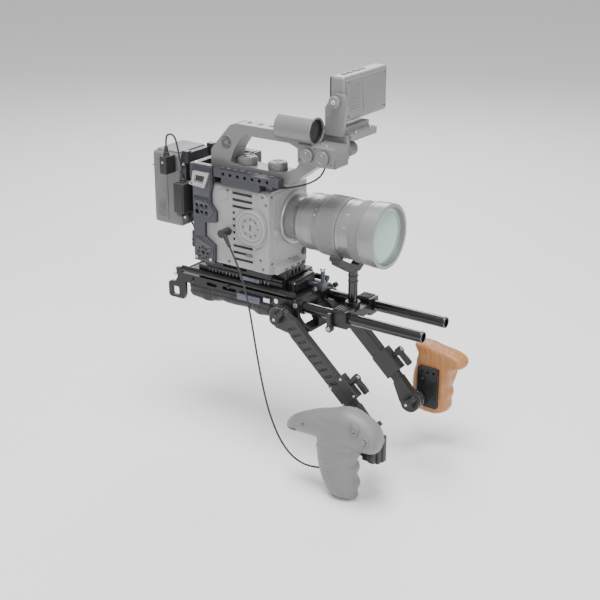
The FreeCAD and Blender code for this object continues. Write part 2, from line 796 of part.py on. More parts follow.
def monitor():
    left = "monitor_left"
    body = rounded(box("monitor_front - monitor_thick", "monitor_front", left, left + " + monitor_width",
                       "monitor_bottom", "monitor_top"), 4, straight)
    socket = cylinder(5.05, ("monitor_pivot_x", left + " - 1", "monitor_pivot_z"), 4, "Y")
    keep("monitor", cut(body, socket))
    stem_low = "handle_y + front_block_half_width"
    shelf = rounded(box(127, 177, "monitor_left + 5", "monitor_left + 65", 252, 260), 5, along("Z"))
    stem = box(133, 171, stem_low, stem_low + " + 7", 228, 259)
    knob = cylinder(8, (165, stem_low + " + 6", 239), 17, "Y")
    ear = plate("XZ", [
        (141, 258, 1), (167, 258, 1), (173, 297, 5), (169, 312, 6), (153, 312, 6), (141, 293, 2),
    ], "monitor_left - 6.3", "monitor_left - 0.3")
    foot = box(141, 165, "monitor_left - 2", "monitor_left + 61", 259, 268)
    pivot = cylinder(5, ("monitor_pivot_x", left + " - 1", "monitor_pivot_z"), 3.8, "Y")
    keep("monitor_mount", join(shelf, stem, knob, ear, foot, pivot))


top_handle()
monitor()


# ---------------------------------------------------------------- arms

def on_arm(item):
    """Turns a piece built along X at the origin into the right arm's place."""
    item.Placement = FreeCAD.Placement(FreeCAD.Vector(), FreeCAD.Rotation(AXIS["Y"], dim("arm_angle")))
    item.setExpression("Placement.Base.x", bound("pivot_x"))
    item.setExpression("Placement.Base.z", bound("pivot_z"))
    item.setExpression("Placement.Rotation.Angle", bound("arm_angle"))
    return item


def both(node, item):
    """The right arm's piece and its mirror image on the left."""
    right = keep("right_" + node, on_arm(item))
    keep("left_" + node, mirrored(right))


def arm_tube():
    outer = "-arm_inner - arm_thick"
    low = "arm_tube_offset - arm_half_height"
    high = "arm_tube_offset + arm_half_height"
    tube = rounded(box("arm_start", "arm_length", outer, "-arm_inner", low, high), 1.5, along("X"))
    head = cylinder("boss_radius", (0, outer, 0), "arm_thick", "Y")
    shoulder = plate("XZ", [(0, -13.5, 2), (8, -13), ("arm_start + 8", low), ("arm_start + 8", high), (4, 13.5, 4), (0, 13)],
                     outer, "-arm_inner")
    block = rounded(box("arm_length - 36", "arm_length", outer + " - 1", "-arm_inner + 1", low + " - 1", high + " + 8"),
                    1.5, along("X"))
    hollow = box("arm_start + 8", "arm_length + 1", outer + " + arm_wall", "-arm_inner - arm_wall",
                 low + " + arm_wall", high + " - arm_wall")
    chevrons = []
    for index in range(int(dim("chevron_count"))):
        start = 20 + index * dim("chevron_pitch")
        chevrons.append(plate("XZ", [
            (start, "arm_tube_offset - 6"), (start + 3.4, "arm_tube_offset - 6"),
            (start + 8.4, "arm_tube_offset + 6"), (start + 5.0, "arm_tube_offset + 6"),
        ], outer + " - 1", outer + " + 1.2"))
    axle = cylinder("boss_radius / 2 - 2", (0, outer + " - 1", 0), "arm_thick + 2", "Y")
    return cut(join(tube, head, shoulder, block), hollow, axle, *chevrons)


def slider_bar():
    outer = "-arm_inner - arm_thick"
    low = "arm_tube_offset - arm_half_height + arm_wall + slider_gap"
    high = "arm_tube_offset + arm_half_height - arm_wall - slider_gap"
    bar = box("arm_start + 40", "arm_reach - 12", outer + " + arm_wall + slider_gap",
              "-arm_inner - arm_wall - slider_gap", low, high)
    neck = plate("XZ", [
        ("arm_length + 8", low), ("arm_length + 8", high), ("arm_reach", "boss_radius - 0.5"),
        ("arm_reach", "0.5 - boss_radius"), ("arm_reach - 12", "-boss_radius / 2 - 4"),
    ], outer, "-arm_inner")
    disc = cylinder("boss_radius", ("arm_reach", outer, 0), "arm_thick", "Y")
    axle = cylinder("boss_radius / 2 - 2", ("arm_reach", outer + " - 1", 0), "arm_thick + 2", "Y")
    return cut(join(bar, neck, disc), axle)


def wing_lever(x, y_low, y_high):
    hub = cylinder(8, (x, y_low, 0), "(%s) - (%s)" % (y_high, y_low), "Y")
    wing = rounded(box("(%s) - 3.6" % x, "(%s) + 3.6" % x, y_low, y_high, -9, 17), 2, straight)
    return join(hub, wing)


def slide_lever():
    """The lever on a post above the clamp block that locks the slider."""
    top = "arm_tube_offset + arm_half_height + 8"
    middle = "-arm_inner - arm_thick / 2"
    post = cylinder(3.5, ("arm_length - 20", middle, top + " + 0.3"), 9)
    hub = cylinder(5.5, ("arm_length - 20", middle, top + " + 8"), 8)
    wing = rounded(box("arm_length - 20", "arm_length + 4", middle + " - 4", middle + " + 4", top + " + 8.5", top + " + 15.5"),
                   1.8, straight)
    return join(post, hub, wing)


def arms():
    both("arm", arm_tube())
    both("slider", slider_bar())
    both("arm_lever", wing_lever("0", "-arm_inner - arm_thick - 0.3 - lever_thick", "-arm_inner - arm_thick - 0.3"))
    both("slide_lever", slide_lever())
    both("grip_lever", wing_lever("arm_reach", "-arm_inner + 0.3", "-arm_inner + 0.3 + lever_thick"))
    bosses = [
        cylinder("boss_radius - 1", ("pivot_x", start, "pivot_z"), "arm_inner - plate_inner - plate_thick - 0.3", "Y")
        for start in ("-arm_inner + 0.3", "plate_inner + plate_thick")
    ]
    keep("pivot_bosses", group(*bosses))


arms()


# ---------------------------------------------------------------- grips

def grip_axis():
    """Where the grips turn: the arms' lower joint."""
    angle = math.radians(dim("arm_angle"))
    reach = dim("arm_reach")
    return dim("pivot_x") + reach * math.cos(angle), dim("pivot_z") - reach * math.sin(angle)


def skin(stations, axis):
    """A smooth solid through ovals (place, centre, half sizes), stacked along an axis."""
    ovals = []
    for at, centre, halves in stations:
        oval = document.addObject("Part::Ellipse", "Oval")
        long_first = halves[0] >= halves[1]
        oval.MajorRadius = max(halves)
        oval.MinorRadius = min(halves)
        spin = FreeCAD.Rotation(AXIS["Z"], 0 if long_first else 90)
        if axis == "Z":
            oval.Placement = FreeCAD.Placement(FreeCAD.Vector(centre[0], centre[1], at), spin)
        else:
            stand = FreeCAD.Rotation(AXIS["Y"], AXIS["Z"], AXIS["X"], "ZXY")
            oval.Placement = FreeCAD.Placement(FreeCAD.Vector(at, centre[0], centre[1]), stand * spin)
        ovals.append(oval)
    item = document.addObject("Part::Loft", "Skin")
    item.Sections = ovals
    item.Solid = True
    return item


def right_grip():
    """A moulded grip: an upright handle under a broad head with a thumb horn behind."""
    x, z = grip_axis()
    middle = -(dim("arm_inner") + dim("arm_thick") + 46)
    column = skin([
        (z - 71, (x - 3, middle), (20, 17)),
        (z - 64, (x - 6, middle), (25, 20)),
        (z - 48, (x - 11, middle), (29, 22)),
        (z - 25, (x - 15, middle), (31, 23)),
        (z - 4, (x - 14, middle), (33, 23)),
        (z + 24, (x - 2, middle), (34, 22)),
    ], "Z")
    head = skin([
        (x - 92, (middle, z + 7), (8, 8)),
        (x - 86, (middle, z + 12), (13, 14)),
        (x - 64, (middle, z + 20), (17, 18)),
        (x - 38, (middle, z + 25), (20, 22)),
        (x - 12, (middle, z + 30), (22, 27)),
        (x + 10, (middle, z + 31), (23, 29)),
        (x + 34, (middle, z + 26), (21, 26)),
        (x + 50, (middle, z + 22), (14, 17)),
    ], "X")
    button_well = cylinder(4.3, (x + 22, middle - 30, z + 40), 15, "Y")
    keep("right_grip", cut(join(column, head), button_well))
    keep("record_button", cylinder(4, (x + 22, middle - 22.5, z + 40), 5.3, "Y"))
    outer = "-arm_inner - arm_thick - 0.3"
    disc = cylinder("boss_radius", (x, outer + " - 8", z), 8, "Y")
    bracket = rounded(box(x - 8, x + 36, outer + " - 16", outer + " - 7", z - 26, z + 12), 2, straight)
    knob = rounded(box(x + 8, x + 34, outer + " - 24", outer + " - 15", z - 26, z - 2), 2, straight)
    keep("right_adapter", join(disc, bracket, knob))


def left_grip():
    """A carved wooden grip on a black plate with a toothed ring."""
    x, z = grip_axis()
    face = "arm_inner + arm_thick + 0.3"
    ring = cylinder("boss_radius", (x, face, z), 8, "Y")
    core = cylinder("boss_radius - 3", (x, face + " + 7", z), 6, "Y")
    plate_low = face + " + 13"
    backing = rounded(box(x - 2, x + 30, plate_low, plate_low + " + 4", z - 12, z + 48), 3, along("Y"))
    holes = [cylinder(2.2, (x + across, plate_low + " - 1", z + up), 3, "Y")
             for across, up in ((5, 41), (14, 41), (23, 41))]
    keep("left_grip_plate", cut(join(ring, core, backing), *holes))
    outline = [
        (x - 14, z + 62, 6), (x - 12, z + 76, 5), (x + 8, z + 79, 8), (x + 34, z + 75, 10),
        (x + 56, z + 70, 6), (x + 65, z + 62, 5), (x + 62, z + 52, 5), (x + 47, z + 46, 4),
        (x + 43, z + 38, 4), (x + 46, z + 30, 4), (x + 41, z + 20, 4), (x + 45, z + 10, 4),
        (x + 40, z, 4), (x + 43, z - 10, 4), (x + 37, z - 21, 6), (x + 24, z - 25, 6),
        (x - 6, z - 23, 6), (x - 14, z - 14, 6), (x - 16, z + 22, 10), (x - 8, z + 50, 8),
    ]
    keep("left_grip", plate("XZ", outline, plate_low + " + 4", plate_low + " + 36"))


right_grip()
left_grip()


# ---------------------------------------------------------------- cords

def tube(node, points, radius):
    """A round cord: straight runs joined by tangent arcs."""
    route = [FreeCAD.Vector(*point) for point in points]
    edges = []
    radii = []
    start = route[0]
    for before, corner, after in zip(route, route[1:], route[2:]):
        back, ahead = before - corner, after - corner
        turn = math.pi - back.getAngle(ahead)
        shorter = min(back.Length, ahead.Length)
        bend = 0.45 * shorter / math.tan(turn / 2)
        reach = 0.45 * shorter
        arc_start = corner + back.normalize() * reach
        arc_end = corner + ahead.normalize() * reach
        inward = (back + ahead).normalize()
        middle = corner + inward * (bend / math.cos(turn / 2) - bend)
        edges.append(Part.LineSegment(start, arc_start).toShape())
        edges.append(Part.Arc(arc_start, middle, arc_end).toShape())
        radii.append(bend)
        start = arc_end
    edges.append(Part.LineSegment(start, route[-1]).toShape())
    spine = Part.Wire(edges)
    first = route[1] - route[0]
    ring = Part.Wire([Part.Circle(route[0], first, radius).toShape()])
    solid = spine.makePipeShell([ring], True, False)
    length = spine.Length
    expected = math.pi * radius ** 2 * length
    print("%s: length %.0f, smallest bend %.1f, volume ratio %.3f" % (
        node, length, min(radii), solid.Volume / expected))
    return shaped(node, solid)


def jack():
    """A right-angle plug in the camera's side, with the cable's relief on it."""
    centre = FreeCAD.Vector(11.6, 0, 114.9)
    barrel = cylinder(5.6, (centre.x, -74, centre.z), "74 - body_half_width", "Y")
    exit_point = FreeCAD.Vector(*REMOTE_ROUTE[0])
    run = (FreeCAD.Vector(*REMOTE_ROUTE[1]) - exit_point).normalize()
    relief = document.addObject("Part::Cone", "Relief")
    relief.Radius1, relief.Radius2, relief.Height = 3.4, 2.2, 18
    relief.Placement = FreeCAD.Placement(exit_point - run * 18, FreeCAD.Rotation(AXIS["Z"], run))
    keep("angle_jack", join(barrel, relief))


# Routes of the four cords, as chosen points from one end to the other.
REMOTE_ROUTE = [
    (25.2, -72.7, 99.6), (41.4, -76, 77), (56, -82, 53), (67.7, -88, 28.5), (75.4, -92, 6),
    (82.4, -95, -19), (89.7, -98, -44), (97.6, -100.5, -72), (109.5, -103, -108), (126.5, -104.5, -141),
    (145, -105.5, -160), (165, -106, -168), (184, -106.6, -167.5), (195.8, -107, -164.5),
]
LEAD_ROUTE = [
    (-99.2, -50, 213.5), (-99.2, -50, 226.3), (-94.8, -50, 231.4), (-88.2, -50, 232.4), (-82.6, -50, 228.8),
    (-78.8, -50, 216.4), (-75, -50.6, 199), (-71.5, -50, 181),
]
OUTLET_ROUTE = [
    (-65, -50, 126), (-65, -49.8, 117.6), (-55.2, -47.4, 108.4), (-55, -47, 100),
]
HANDLE_ROUTE = [
    (158, -43.5, 223), (154.5, -43.4, 213.5), (144, -43.4, 204), (128.5, -43, 195.5), (109, -42.8, 189),
    (91, -42.6, 184), (74, -42, 181.5),
]


def cords():
    tube("remote_cable", REMOTE_ROUTE, 1.3)
    tube("battery_lead", LEAD_ROUTE, 1.3)
    tube("outlet_lead", OUTLET_ROUTE, 1.3)
    tube("handle_cable", HANDLE_ROUTE, 1.2)


jack()
cords()


# ---------------------------------------------------------------- checks and files

document.recompute()
for item in document.Objects:
    assert "Invalid" not in item.State and "Error" not in item.State, (item.Name, item.State)
for item in finished:
    assert not item.Shape.isNull() and item.Shape.isValid(), item.Label
    assert item.Shape.Volume > 0, item.Label
os.makedirs("parts", exist_ok=True)
for item in finished:
    item.Shape.exportStep("parts/%s.step" % item.Label)
print(len(finished), "sub-parts written")
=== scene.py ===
import functools
import logging
import math
from dataclasses import dataclass
from enum import Enum
from typing import Callable, Iterable, Sequence

import bpy
from mathutils import Euler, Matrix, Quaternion, Vector


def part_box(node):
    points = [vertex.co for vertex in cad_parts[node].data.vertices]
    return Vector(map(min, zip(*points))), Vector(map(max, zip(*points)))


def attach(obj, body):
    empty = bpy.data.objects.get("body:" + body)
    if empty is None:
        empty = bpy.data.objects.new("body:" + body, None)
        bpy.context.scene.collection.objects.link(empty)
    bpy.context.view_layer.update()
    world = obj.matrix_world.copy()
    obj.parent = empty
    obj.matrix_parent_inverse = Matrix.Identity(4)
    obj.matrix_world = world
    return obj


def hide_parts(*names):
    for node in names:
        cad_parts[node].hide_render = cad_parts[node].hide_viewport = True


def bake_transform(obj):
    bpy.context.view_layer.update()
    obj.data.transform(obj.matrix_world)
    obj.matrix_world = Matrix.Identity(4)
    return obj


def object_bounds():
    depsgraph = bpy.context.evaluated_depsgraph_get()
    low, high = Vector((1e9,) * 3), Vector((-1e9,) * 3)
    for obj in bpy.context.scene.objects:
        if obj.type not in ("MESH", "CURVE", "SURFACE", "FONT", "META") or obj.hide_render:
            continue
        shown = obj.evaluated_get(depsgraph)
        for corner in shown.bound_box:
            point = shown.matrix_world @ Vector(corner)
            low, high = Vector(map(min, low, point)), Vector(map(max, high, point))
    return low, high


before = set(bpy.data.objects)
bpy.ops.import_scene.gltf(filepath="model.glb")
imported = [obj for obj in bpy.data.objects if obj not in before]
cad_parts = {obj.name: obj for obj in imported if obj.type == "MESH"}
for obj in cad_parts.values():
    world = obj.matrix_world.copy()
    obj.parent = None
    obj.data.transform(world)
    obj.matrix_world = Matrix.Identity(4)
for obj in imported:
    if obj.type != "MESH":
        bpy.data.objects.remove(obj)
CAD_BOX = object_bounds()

LOG = logging.getLogger("camera_rig")
MM = 0.001
Point = Sequence[float]
Colour = tuple[float, float, float]


class Axis(Enum):
    """A row axis that a round piece stands along."""

    X = (0.0, math.pi / 2, 0.0)
    Y = (-math.pi / 2, 0.0, 0.0)
    Z = (0.0, 0.0, 0.0)

    @property
    def turn(self) -> Euler:
        """The turn that lays a piece built along Z along this axis."""
        return Euler(self.value)

    @property
    def ahead(self) -> Vector:
        """The unit vector of this axis."""
        return {Axis.X: Vector((1, 0, 0)), Axis.Y: Vector((0, 1, 0)), Axis.Z: Vector((0, 0, 1))}[self]


class Body(Enum):
    """The rigid bodies that pieces ride on."""

    FRAME = "frame"
    CAMERA = "camera"
    SUPPORT = "lens_support"
    MAST = "support_mast"
    RIGHT_ARM = "right_arm"
    RIGHT_SLIDER = "right_slider"
    RIGHT_GRIP = "right_grip"
    LEFT_GRIP = "left_grip"


# ------------------------------------------------------------------ shader groups


class Effects:
    """Shader node groups that more than one finish uses, each built once."""

    @classmethod
    def _group(cls, name: str, inputs: Iterable[tuple[str, float]],
            outputs: Iterable[tuple[str, str]]) -> tuple[bpy.types.NodeTree, bpy.types.Node, bpy.types.Node]:
        """Starts a group with named sockets.

        Args:
            name: the group's name.
            inputs: each float input's name and default.
            outputs: each output's name and socket type.

        Returns:
            The tree, its input node and its output node.
        """
        tree = bpy.data.node_groups.new(name, "ShaderNodeTree")
        for title, value in inputs:
            socket = tree.interface.new_socket(name=title, in_out="INPUT", socket_type="NodeSocketFloat")
            socket.default_value = value
        for title, kind in outputs:
            tree.interface.new_socket(name=title, in_out="OUTPUT", socket_type=kind)
        return tree, tree.nodes.new("NodeGroupInput"), tree.nodes.new("NodeGroupOutput")

    @staticmethod
    def _placer(tree: bpy.types.NodeTree) -> Callable:
        """Gives a function that places a node in a group.

        Args:
            tree: the group.

        Returns:
            A function of the node's type, its input values by name or number, and its own settings.
        """
        def place(kind: str, values: dict[str | int, object] | None = None,
                **settings: object) -> bpy.types.Node:
            """Places one node and sets it."""
            node = tree.nodes.new(kind)
            for title, setting in settings.items():
                setattr(node, title, setting)
            for title, value in (values or {}).items():
                node.inputs[title].default_value = value
            return node
        return place

    @classmethod
    @functools.cache
    def edge(cls) -> bpy.types.NodeTree:
        """Rounded edge normal, and a mask that is high where an edge has been rubbed."""
        tree, given, out = cls._group("edge_rub", [("Radius", 0.0005), ("Rub", 0.5)],
                                      [("Mask", "NodeSocketFloat"), ("Normal", "NodeSocketVector")])
        link, node = tree.links.new, cls._placer(tree)
        bevel = node("ShaderNodeBevel", samples=4)
        flat = node("ShaderNodeNewGeometry")
        dot = node("ShaderNodeVectorMath", operation="DOT_PRODUCT")
        turn = node("ShaderNodeMapRange", {"From Min": 0.995, "From Max": 0.82})
        coords = node("ShaderNodeTexCoord")
        patch = node("ShaderNodeTexNoise", {"Scale": 90, "Detail": 4})
        broken = node("ShaderNodeMapRange", {"From Min": 0.42, "From Max": 0.62})
        both = node("ShaderNodeMath", operation="MULTIPLY")
        amount = node("ShaderNodeMath", operation="MULTIPLY")
        link(given.outputs["Radius"], bevel.inputs["Radius"])
        link(bevel.outputs["Normal"], dot.inputs[0])
        link(flat.outputs["Normal"], dot.inputs[1])
        link(dot.outputs["Value"], turn.inputs["Value"])
        link(coords.outputs["Object"], patch.inputs["Vector"])
        link(patch.outputs["Fac"], broken.inputs["Value"])
        link(turn.outputs["Result"], both.inputs[0])
        link(broken.outputs["Result"], both.inputs[1])
        link(both.outputs["Value"], amount.inputs[0])
        link(given.outputs["Rub"], amount.inputs[1])
        link(amount.outputs["Value"], out.inputs["Mask"])
        link(bevel.outputs["Normal"], out.inputs["Normal"])
        return tree

    @classmethod
    @functools.cache
    def grain(cls) -> bpy.types.NodeTree:
        """Fine grain for a height, and slow cloudy change for colour and gloss."""
        tree, given, out = cls._group("surface_grain", [("Fine", 2000.0), ("Slow", 18.0)],
                                      [("Height", "NodeSocketFloat"), ("Cloud", "NodeSocketFloat")])
        link, node = tree.links.new, cls._placer(tree)
        coords = node("ShaderNodeTexCoord")
        fine = node("ShaderNodeTexNoise", {"Detail": 3})
        slow = node("ShaderNodeTexNoise", {"Detail": 5})
        link(given.outputs["Fine"], fine.inputs["Scale"])
        link(given.outputs["Slow"], slow.inputs["Scale"])
        for texture in (fine, slow):
            link(coords.outputs["Object"], texture.inputs["Vector"])
        link(fine.outputs["Fac"], out.inputs["Height"])
        link(slow.outputs["Fac"], out.inputs["Cloud"])
        return tree

    @classmethod
    @functools.cache
    def dust(cls) -> bpy.types.NodeTree:
        """A mask of thin dust that settles on faces that look up."""
        tree, given, out = cls._group("settled_dust", [("Amount", 0.1)], [("Mask", "NodeSocketFloat")])
        link, node = tree.links.new, cls._placer(tree)
        flat = node("ShaderNodeNewGeometry")
        split = node("ShaderNodeSeparateXYZ")
        up = node("ShaderNodeMapRange", {"From Min": 0.3})
        coords = node("ShaderNodeTexCoord")
        patch = node("ShaderNodeTexNoise", {"Scale": 45, "Detail": 6})
        both = node("ShaderNodeMath", operation="MULTIPLY")
        amount = node("ShaderNodeMath", operation="MULTIPLY")
        link(flat.outputs["Normal"], split.inputs[0])
        link(split.outputs["Z"], up.inputs["Value"])
        link(coords.outputs["Object"], patch.inputs["Vector"])
        link(up.outputs["Result"], both.inputs[0])
        link(patch.outputs["Fac"], both.inputs[1])
        link(both.outputs["Value"], amount.inputs[0])
        link(given.outputs["Amount"], amount.inputs[1])
        link(amount.outputs["Value"], out.inputs["Mask"])
        return tree

    @classmethod
    @functools.cache
    def weave(cls) -> bpy.types.NodeTree:
        """Crossed threads for a woven cover."""
        tree, given, out = cls._group("woven_cover", [("Pitch", 900.0)],
                                      [("Height", "NodeSocketFloat"), ("Thread", "NodeSocketFloat")])
        link, node = tree.links.new, cls._placer(tree)
        coords = node("ShaderNodeTexCoord")
        waves = []
        for direction in ("X", "Y"):
            wave = node("ShaderNodeTexWave", {"Distortion": 0.4}, bands_direction=direction)
            link(coords.outputs["Object"], wave.inputs["Vector"])
            link(given.outputs["Pitch"], wave.inputs["Scale"])
            waves.append(wave)
        high = node("ShaderNodeMath", operation="MAXIMUM")
        low = node("ShaderNodeMath", operation="MULTIPLY")
        for index, wave in enumerate(waves):
            link(wave.outputs["Fac"], high.inputs[index])
            link(wave.outputs["Fac"], low.inputs[index])
        link(high.outputs["Value"], out.inputs["Height"])
        link(low.outputs["Value"], out.inputs["Thread"])
        return tree

    @classmethod
    @functools.cache
    def wood(cls) -> bpy.types.NodeTree:
        """Growth rings stretched along the grip, with pores along the grain."""
        tree, given, out = cls._group("wood_rings", [("Rings", 26.0)],
                                      [("Ring", "NodeSocketFloat"), ("Pores", "NodeSocketFloat")])
        link, node = tree.links.new, cls._placer(tree)
        coords = node("ShaderNodeTexCoord")
        lay = node("ShaderNodeMapping", {"Rotation": (0.25, 0.5, 0.1), "Scale": (1.0, 1.0, 0.14)})
        bend = node("ShaderNodeTexNoise", {"Scale": 14, "Detail": 2})
        shift = node("ShaderNodeVectorMath", {1: (0.02, 0.02, 0.02)}, operation="MULTIPLY_ADD")
        wave = node("ShaderNodeTexWave", {"Distortion": 9, "Detail": 3, "Detail Scale": 2}, wave_type="RINGS",
                rings_direction="Z")
        stretch = node("ShaderNodeMapping", {"Scale": (1.0, 1.0, 0.05)})
        pores = node("ShaderNodeTexNoise", {"Scale": 1500, "Detail": 2})
        link(coords.outputs["Object"], lay.inputs["Vector"])
        link(coords.outputs["Object"], bend.inputs["Vector"])
        link(bend.outputs["Color"], shift.inputs[0])
        link(lay.outputs["Vector"], shift.inputs[2])
        link(shift.outputs["Vector"], wave.inputs["Vector"])
        link(given.outputs["Rings"], wave.inputs["Scale"])
        link(coords.outputs["Object"], stretch.inputs["Vector"])
        link(stretch.outputs["Vector"], pores.inputs["Vector"])
        link(wave.outputs["Fac"], out.inputs["Ring"])
        link(pores.outputs["Fac"], out.inputs["Pores"])
        return tree


# ------------------------------------------------------------------ finishes


@dataclass(frozen=True)
class Finish:
    """One material: its colour, gloss and the detail of its surface."""

    name: str
    base: Colour
    rough: float
    metal: float = 0.0
    coat: float = 0.0
    fine: float = 2200.0
    depth: float = 0.05
    edge_radius: float = 0.0005
    rub: float = 0.35
    rubbed: Colour = (0.35, 0.35, 0.37)
    spread: float = 0.07
    dust: float = 0.06
    sheen: float = 0.0

    def make(self) -> bpy.types.Material:
        """Builds the material.

        Returns:
            The material with its nodes.
        """
        material, nodes, link, shader = begin_material(self.name)
        shader.inputs["Metallic"].default_value = self.metal
        shader.inputs["Coat Weight"].default_value = self.coat
        shader.inputs["Coat Roughness"].default_value = 0.08
        shader.inputs["Sheen Weight"].default_value = self.sheen
        grain = add_group(nodes, Effects.grain(), {"Fine": self.fine, "Slow": 22.0})
        edge = add_group(nodes, Effects.edge(), {"Radius": self.edge_radius, "Rub": self.rub})
        dust = add_group(nodes, Effects.dust(), {"Amount": self.dust})
        low, high = (tuple(channel * share for channel in self.base) for share in (1 - self.spread,
                1 + self.spread))
        cloudy = blend_colours(nodes, link, grain.outputs["Cloud"], low, high)
        rubbed = blend_colours(nodes, link, edge.outputs["Mask"], cloudy, self.rubbed)
        dusty = blend_colours(nodes, link, dust.outputs["Mask"], rubbed, (0.5, 0.49, 0.47))
        link(dusty, shader.inputs["Base Color"])
        link(spread_value(nodes, link, grain.outputs["Cloud"], self.rough - 0.06, self.rough + 0.08),
             shader.inputs["Roughness"])
        link(bump(nodes, link, grain.outputs["Height"], self.depth, edge.outputs["Normal"]),
                shader.inputs["Normal"])
        return material


@dataclass(frozen=True)
class WoodFinish:
    """Oiled wood with growth rings and pores."""

    name: str = "oiled_wood"
    pale: Colour = (0.43, 0.185, 0.062)
    dark: Colour = (0.34, 0.135, 0.043)

    def make(self) -> bpy.types.Material:
        """Builds the wood."""
        material, nodes, link, shader = begin_material(self.name)
        shader.inputs["Coat Weight"].default_value = 0.15
        shader.inputs["Coat Roughness"].default_value = 0.3
        rings = add_group(nodes, Effects.wood(), {"Rings": 55.0})
        grain = add_group(nodes, Effects.grain(), {"Fine": 900.0, "Slow": 30.0})
        ringed = blend_colours(nodes, link, rings.outputs["Ring"], self.pale, self.dark)
        cloudy = blend_colours(nodes, link, scaled(nodes, link, grain.outputs["Cloud"], 0.35), ringed,
                (0.52, 0.25, 0.09))
        dark_pores = threshold(nodes, link, rings.outputs["Pores"], 0.60, 0.68)
        pored = blend_colours(nodes, link, scaled(nodes, link, dark_pores, 0.55), cloudy, (0.20, 0.08, 0.03))
        link(pored, shader.inputs["Base Color"])
        link(spread_value(nodes, link, rings.outputs["Ring"], 0.42, 0.52), shader.inputs["Roughness"])
        link(bump(nodes, link, rings.outputs["Pores"], 0.12, None), shader.inputs["Normal"])
        return material


@dataclass(frozen=True)
class WovenFinish:
    """Black woven cover over foam."""

    name: str = "woven_cover_black"

    def make(self) -> bpy.types.Material:
        """Builds the cover."""
        material, nodes, link, shader = begin_material(self.name)
        shader.inputs["Sheen Weight"].default_value = 0.35
        shader.inputs["Roughness"].default_value = 0.85
        weave = add_group(nodes, Effects.weave(), {"Pitch": 420.0})
        dust = add_group(nodes, Effects.dust(), {"Amount": 0.12})
        threads = blend_colours(nodes, link, weave.outputs["Thread"], (0.012, 0.012, 0.013),
                (0.05, 0.05, 0.053))
        link(blend_colours(nodes, link, dust.outputs["Mask"], threads, (0.3, 0.3, 0.3)),
                shader.inputs["Base Color"])
        link(bump(nodes, link, weave.outputs["Height"], 0.5, None), shader.inputs["Normal"])
        return material


@dataclass(frozen=True)
class GlassFinish:
    """Coated front glass with a pale green cast."""

    name: str = "coated_glass"

    def make(self) -> bpy.types.Material:
        """Builds the glass: a glossy coat over a pale depth."""
        material, nodes, link, shader = begin_material(self.name)
        shader.inputs["Coat Weight"].default_value = 1.0
        shader.inputs["Coat Roughness"].default_value = 0.02
        shader.inputs["Coat Tint"].default_value = (0.85, 1.0, 0.95, 1.0)
        grain = add_group(nodes, Effects.grain(), {"Fine": 60.0, "Slow": 14.0})
        link(blend_colours(nodes, link, grain.outputs["Cloud"], (0.33, 0.41, 0.39), (0.45, 0.53, 0.51)),
             shader.inputs["Base Color"])
        link(spread_value(nodes, link, grain.outputs["Cloud"], 0.08, 0.16), shader.inputs["Roughness"])
        return material


def begin_material(name: str) -> tuple[bpy.types.Material, bpy.types.Nodes, Callable, bpy.types.Node]:
    """Starts a node material.

    Args:
        name: the material's name.

    Returns:
        The material, its nodes, its link function and its Principled shader.
    """
    material = bpy.data.materials.new(name)
    material.use_nodes = True
    nodes = material.node_tree.nodes
    return material, nodes, material.node_tree.links.new, nodes["Principled BSDF"]


def add_group(nodes: bpy.types.Nodes, tree: bpy.types.NodeTree, values: dict[str, float]) -> bpy.types.Node:
    """Places a shared effect with its own values.

    Args:
        nodes: the material's nodes.
        tree: the effect's group.
        values: what each named socket is set to.

    Returns:
        The group's node.
    """
    node = nodes.new("ShaderNodeGroup")
    node.node_tree = tree
    for title, value in values.items():
        node.inputs[title].default_value = value
    return node


def blend_colours(nodes: bpy.types.Nodes, link: Callable, mask: bpy.types.NodeSocket,
        first: Colour | bpy.types.NodeSocket, second: Colour | bpy.types.NodeSocket) -> bpy.types.NodeSocket:
    """Mixes two colours by a mask.

    Args:
        nodes: the material's nodes.
        link: the material's link function.
        mask: 0 for the first colour and 1 for the second.
        first: a colour or a socket.
        second: a colour or a socket.

    Returns:
        The mixed colour's socket.
    """
    node = nodes.new("ShaderNodeMix")
    node.data_type = "RGBA"
    link(mask, node.inputs["Factor"])
    for socket, colour in ((node.inputs[6], first), (node.inputs[7], second)):
        if isinstance(colour, bpy.types.NodeSocket):
            link(colour, socket)
        else:
            socket.default_value = (*colour, 1.0)
    return node.outputs[2]


def spread_value(nodes: bpy.types.Nodes, link: Callable, value: bpy.types.NodeSocket,
                 low: float, high: float) -> bpy.types.NodeSocket:
    """Carries a 0 to 1 value to a range.

    Args:
        nodes: the material's nodes.
        link: the material's link function.
        value: the socket that is carried.
        low: what 0 becomes.
        high: what 1 becomes.

    Returns:
        The socket with the new value.
    """
    node = nodes.new("ShaderNodeMapRange")
    node.inputs["To Min"].default_value = max(0.02, low)
    node.inputs["To Max"].default_value = high
    link(value, node.inputs["Value"])
    return node.outputs["Result"]


def threshold(nodes: bpy.types.Nodes, link: Callable, value: bpy.types.NodeSocket,
              low: float, high: float) -> bpy.types.NodeSocket:
    """0 below the low value, 1 above the high one.

    Args:
        nodes: the material's nodes.
        link: the material's link function.
        value: the socket that is tested.
        low: the value that gives 0.
        high: the value that gives 1.

    Returns:
        The mask's socket.
    """
    node = nodes.new("ShaderNodeMapRange")
    node.inputs["From Min"].default_value = low
    node.inputs["From Max"].default_value = high
    link(value, node.inputs["Value"])
    return node.outputs["Result"]


def scaled(nodes: bpy.types.Nodes, link: Callable, value: bpy.types.NodeSocket,
        share: float) -> bpy.types.NodeSocket:
    """A value times a share.

    Args:
        nodes: the material's nodes.
        link: the material's link function.
        value: the socket that is scaled.
        share: the factor.

    Returns:
        The product's socket.
    """
    node = nodes.new("ShaderNodeMath")
    node.operation = "MULTIPLY"
    node.inputs[1].default_value = share
    link(value, node.inputs[0])
    return node.outputs["Value"]


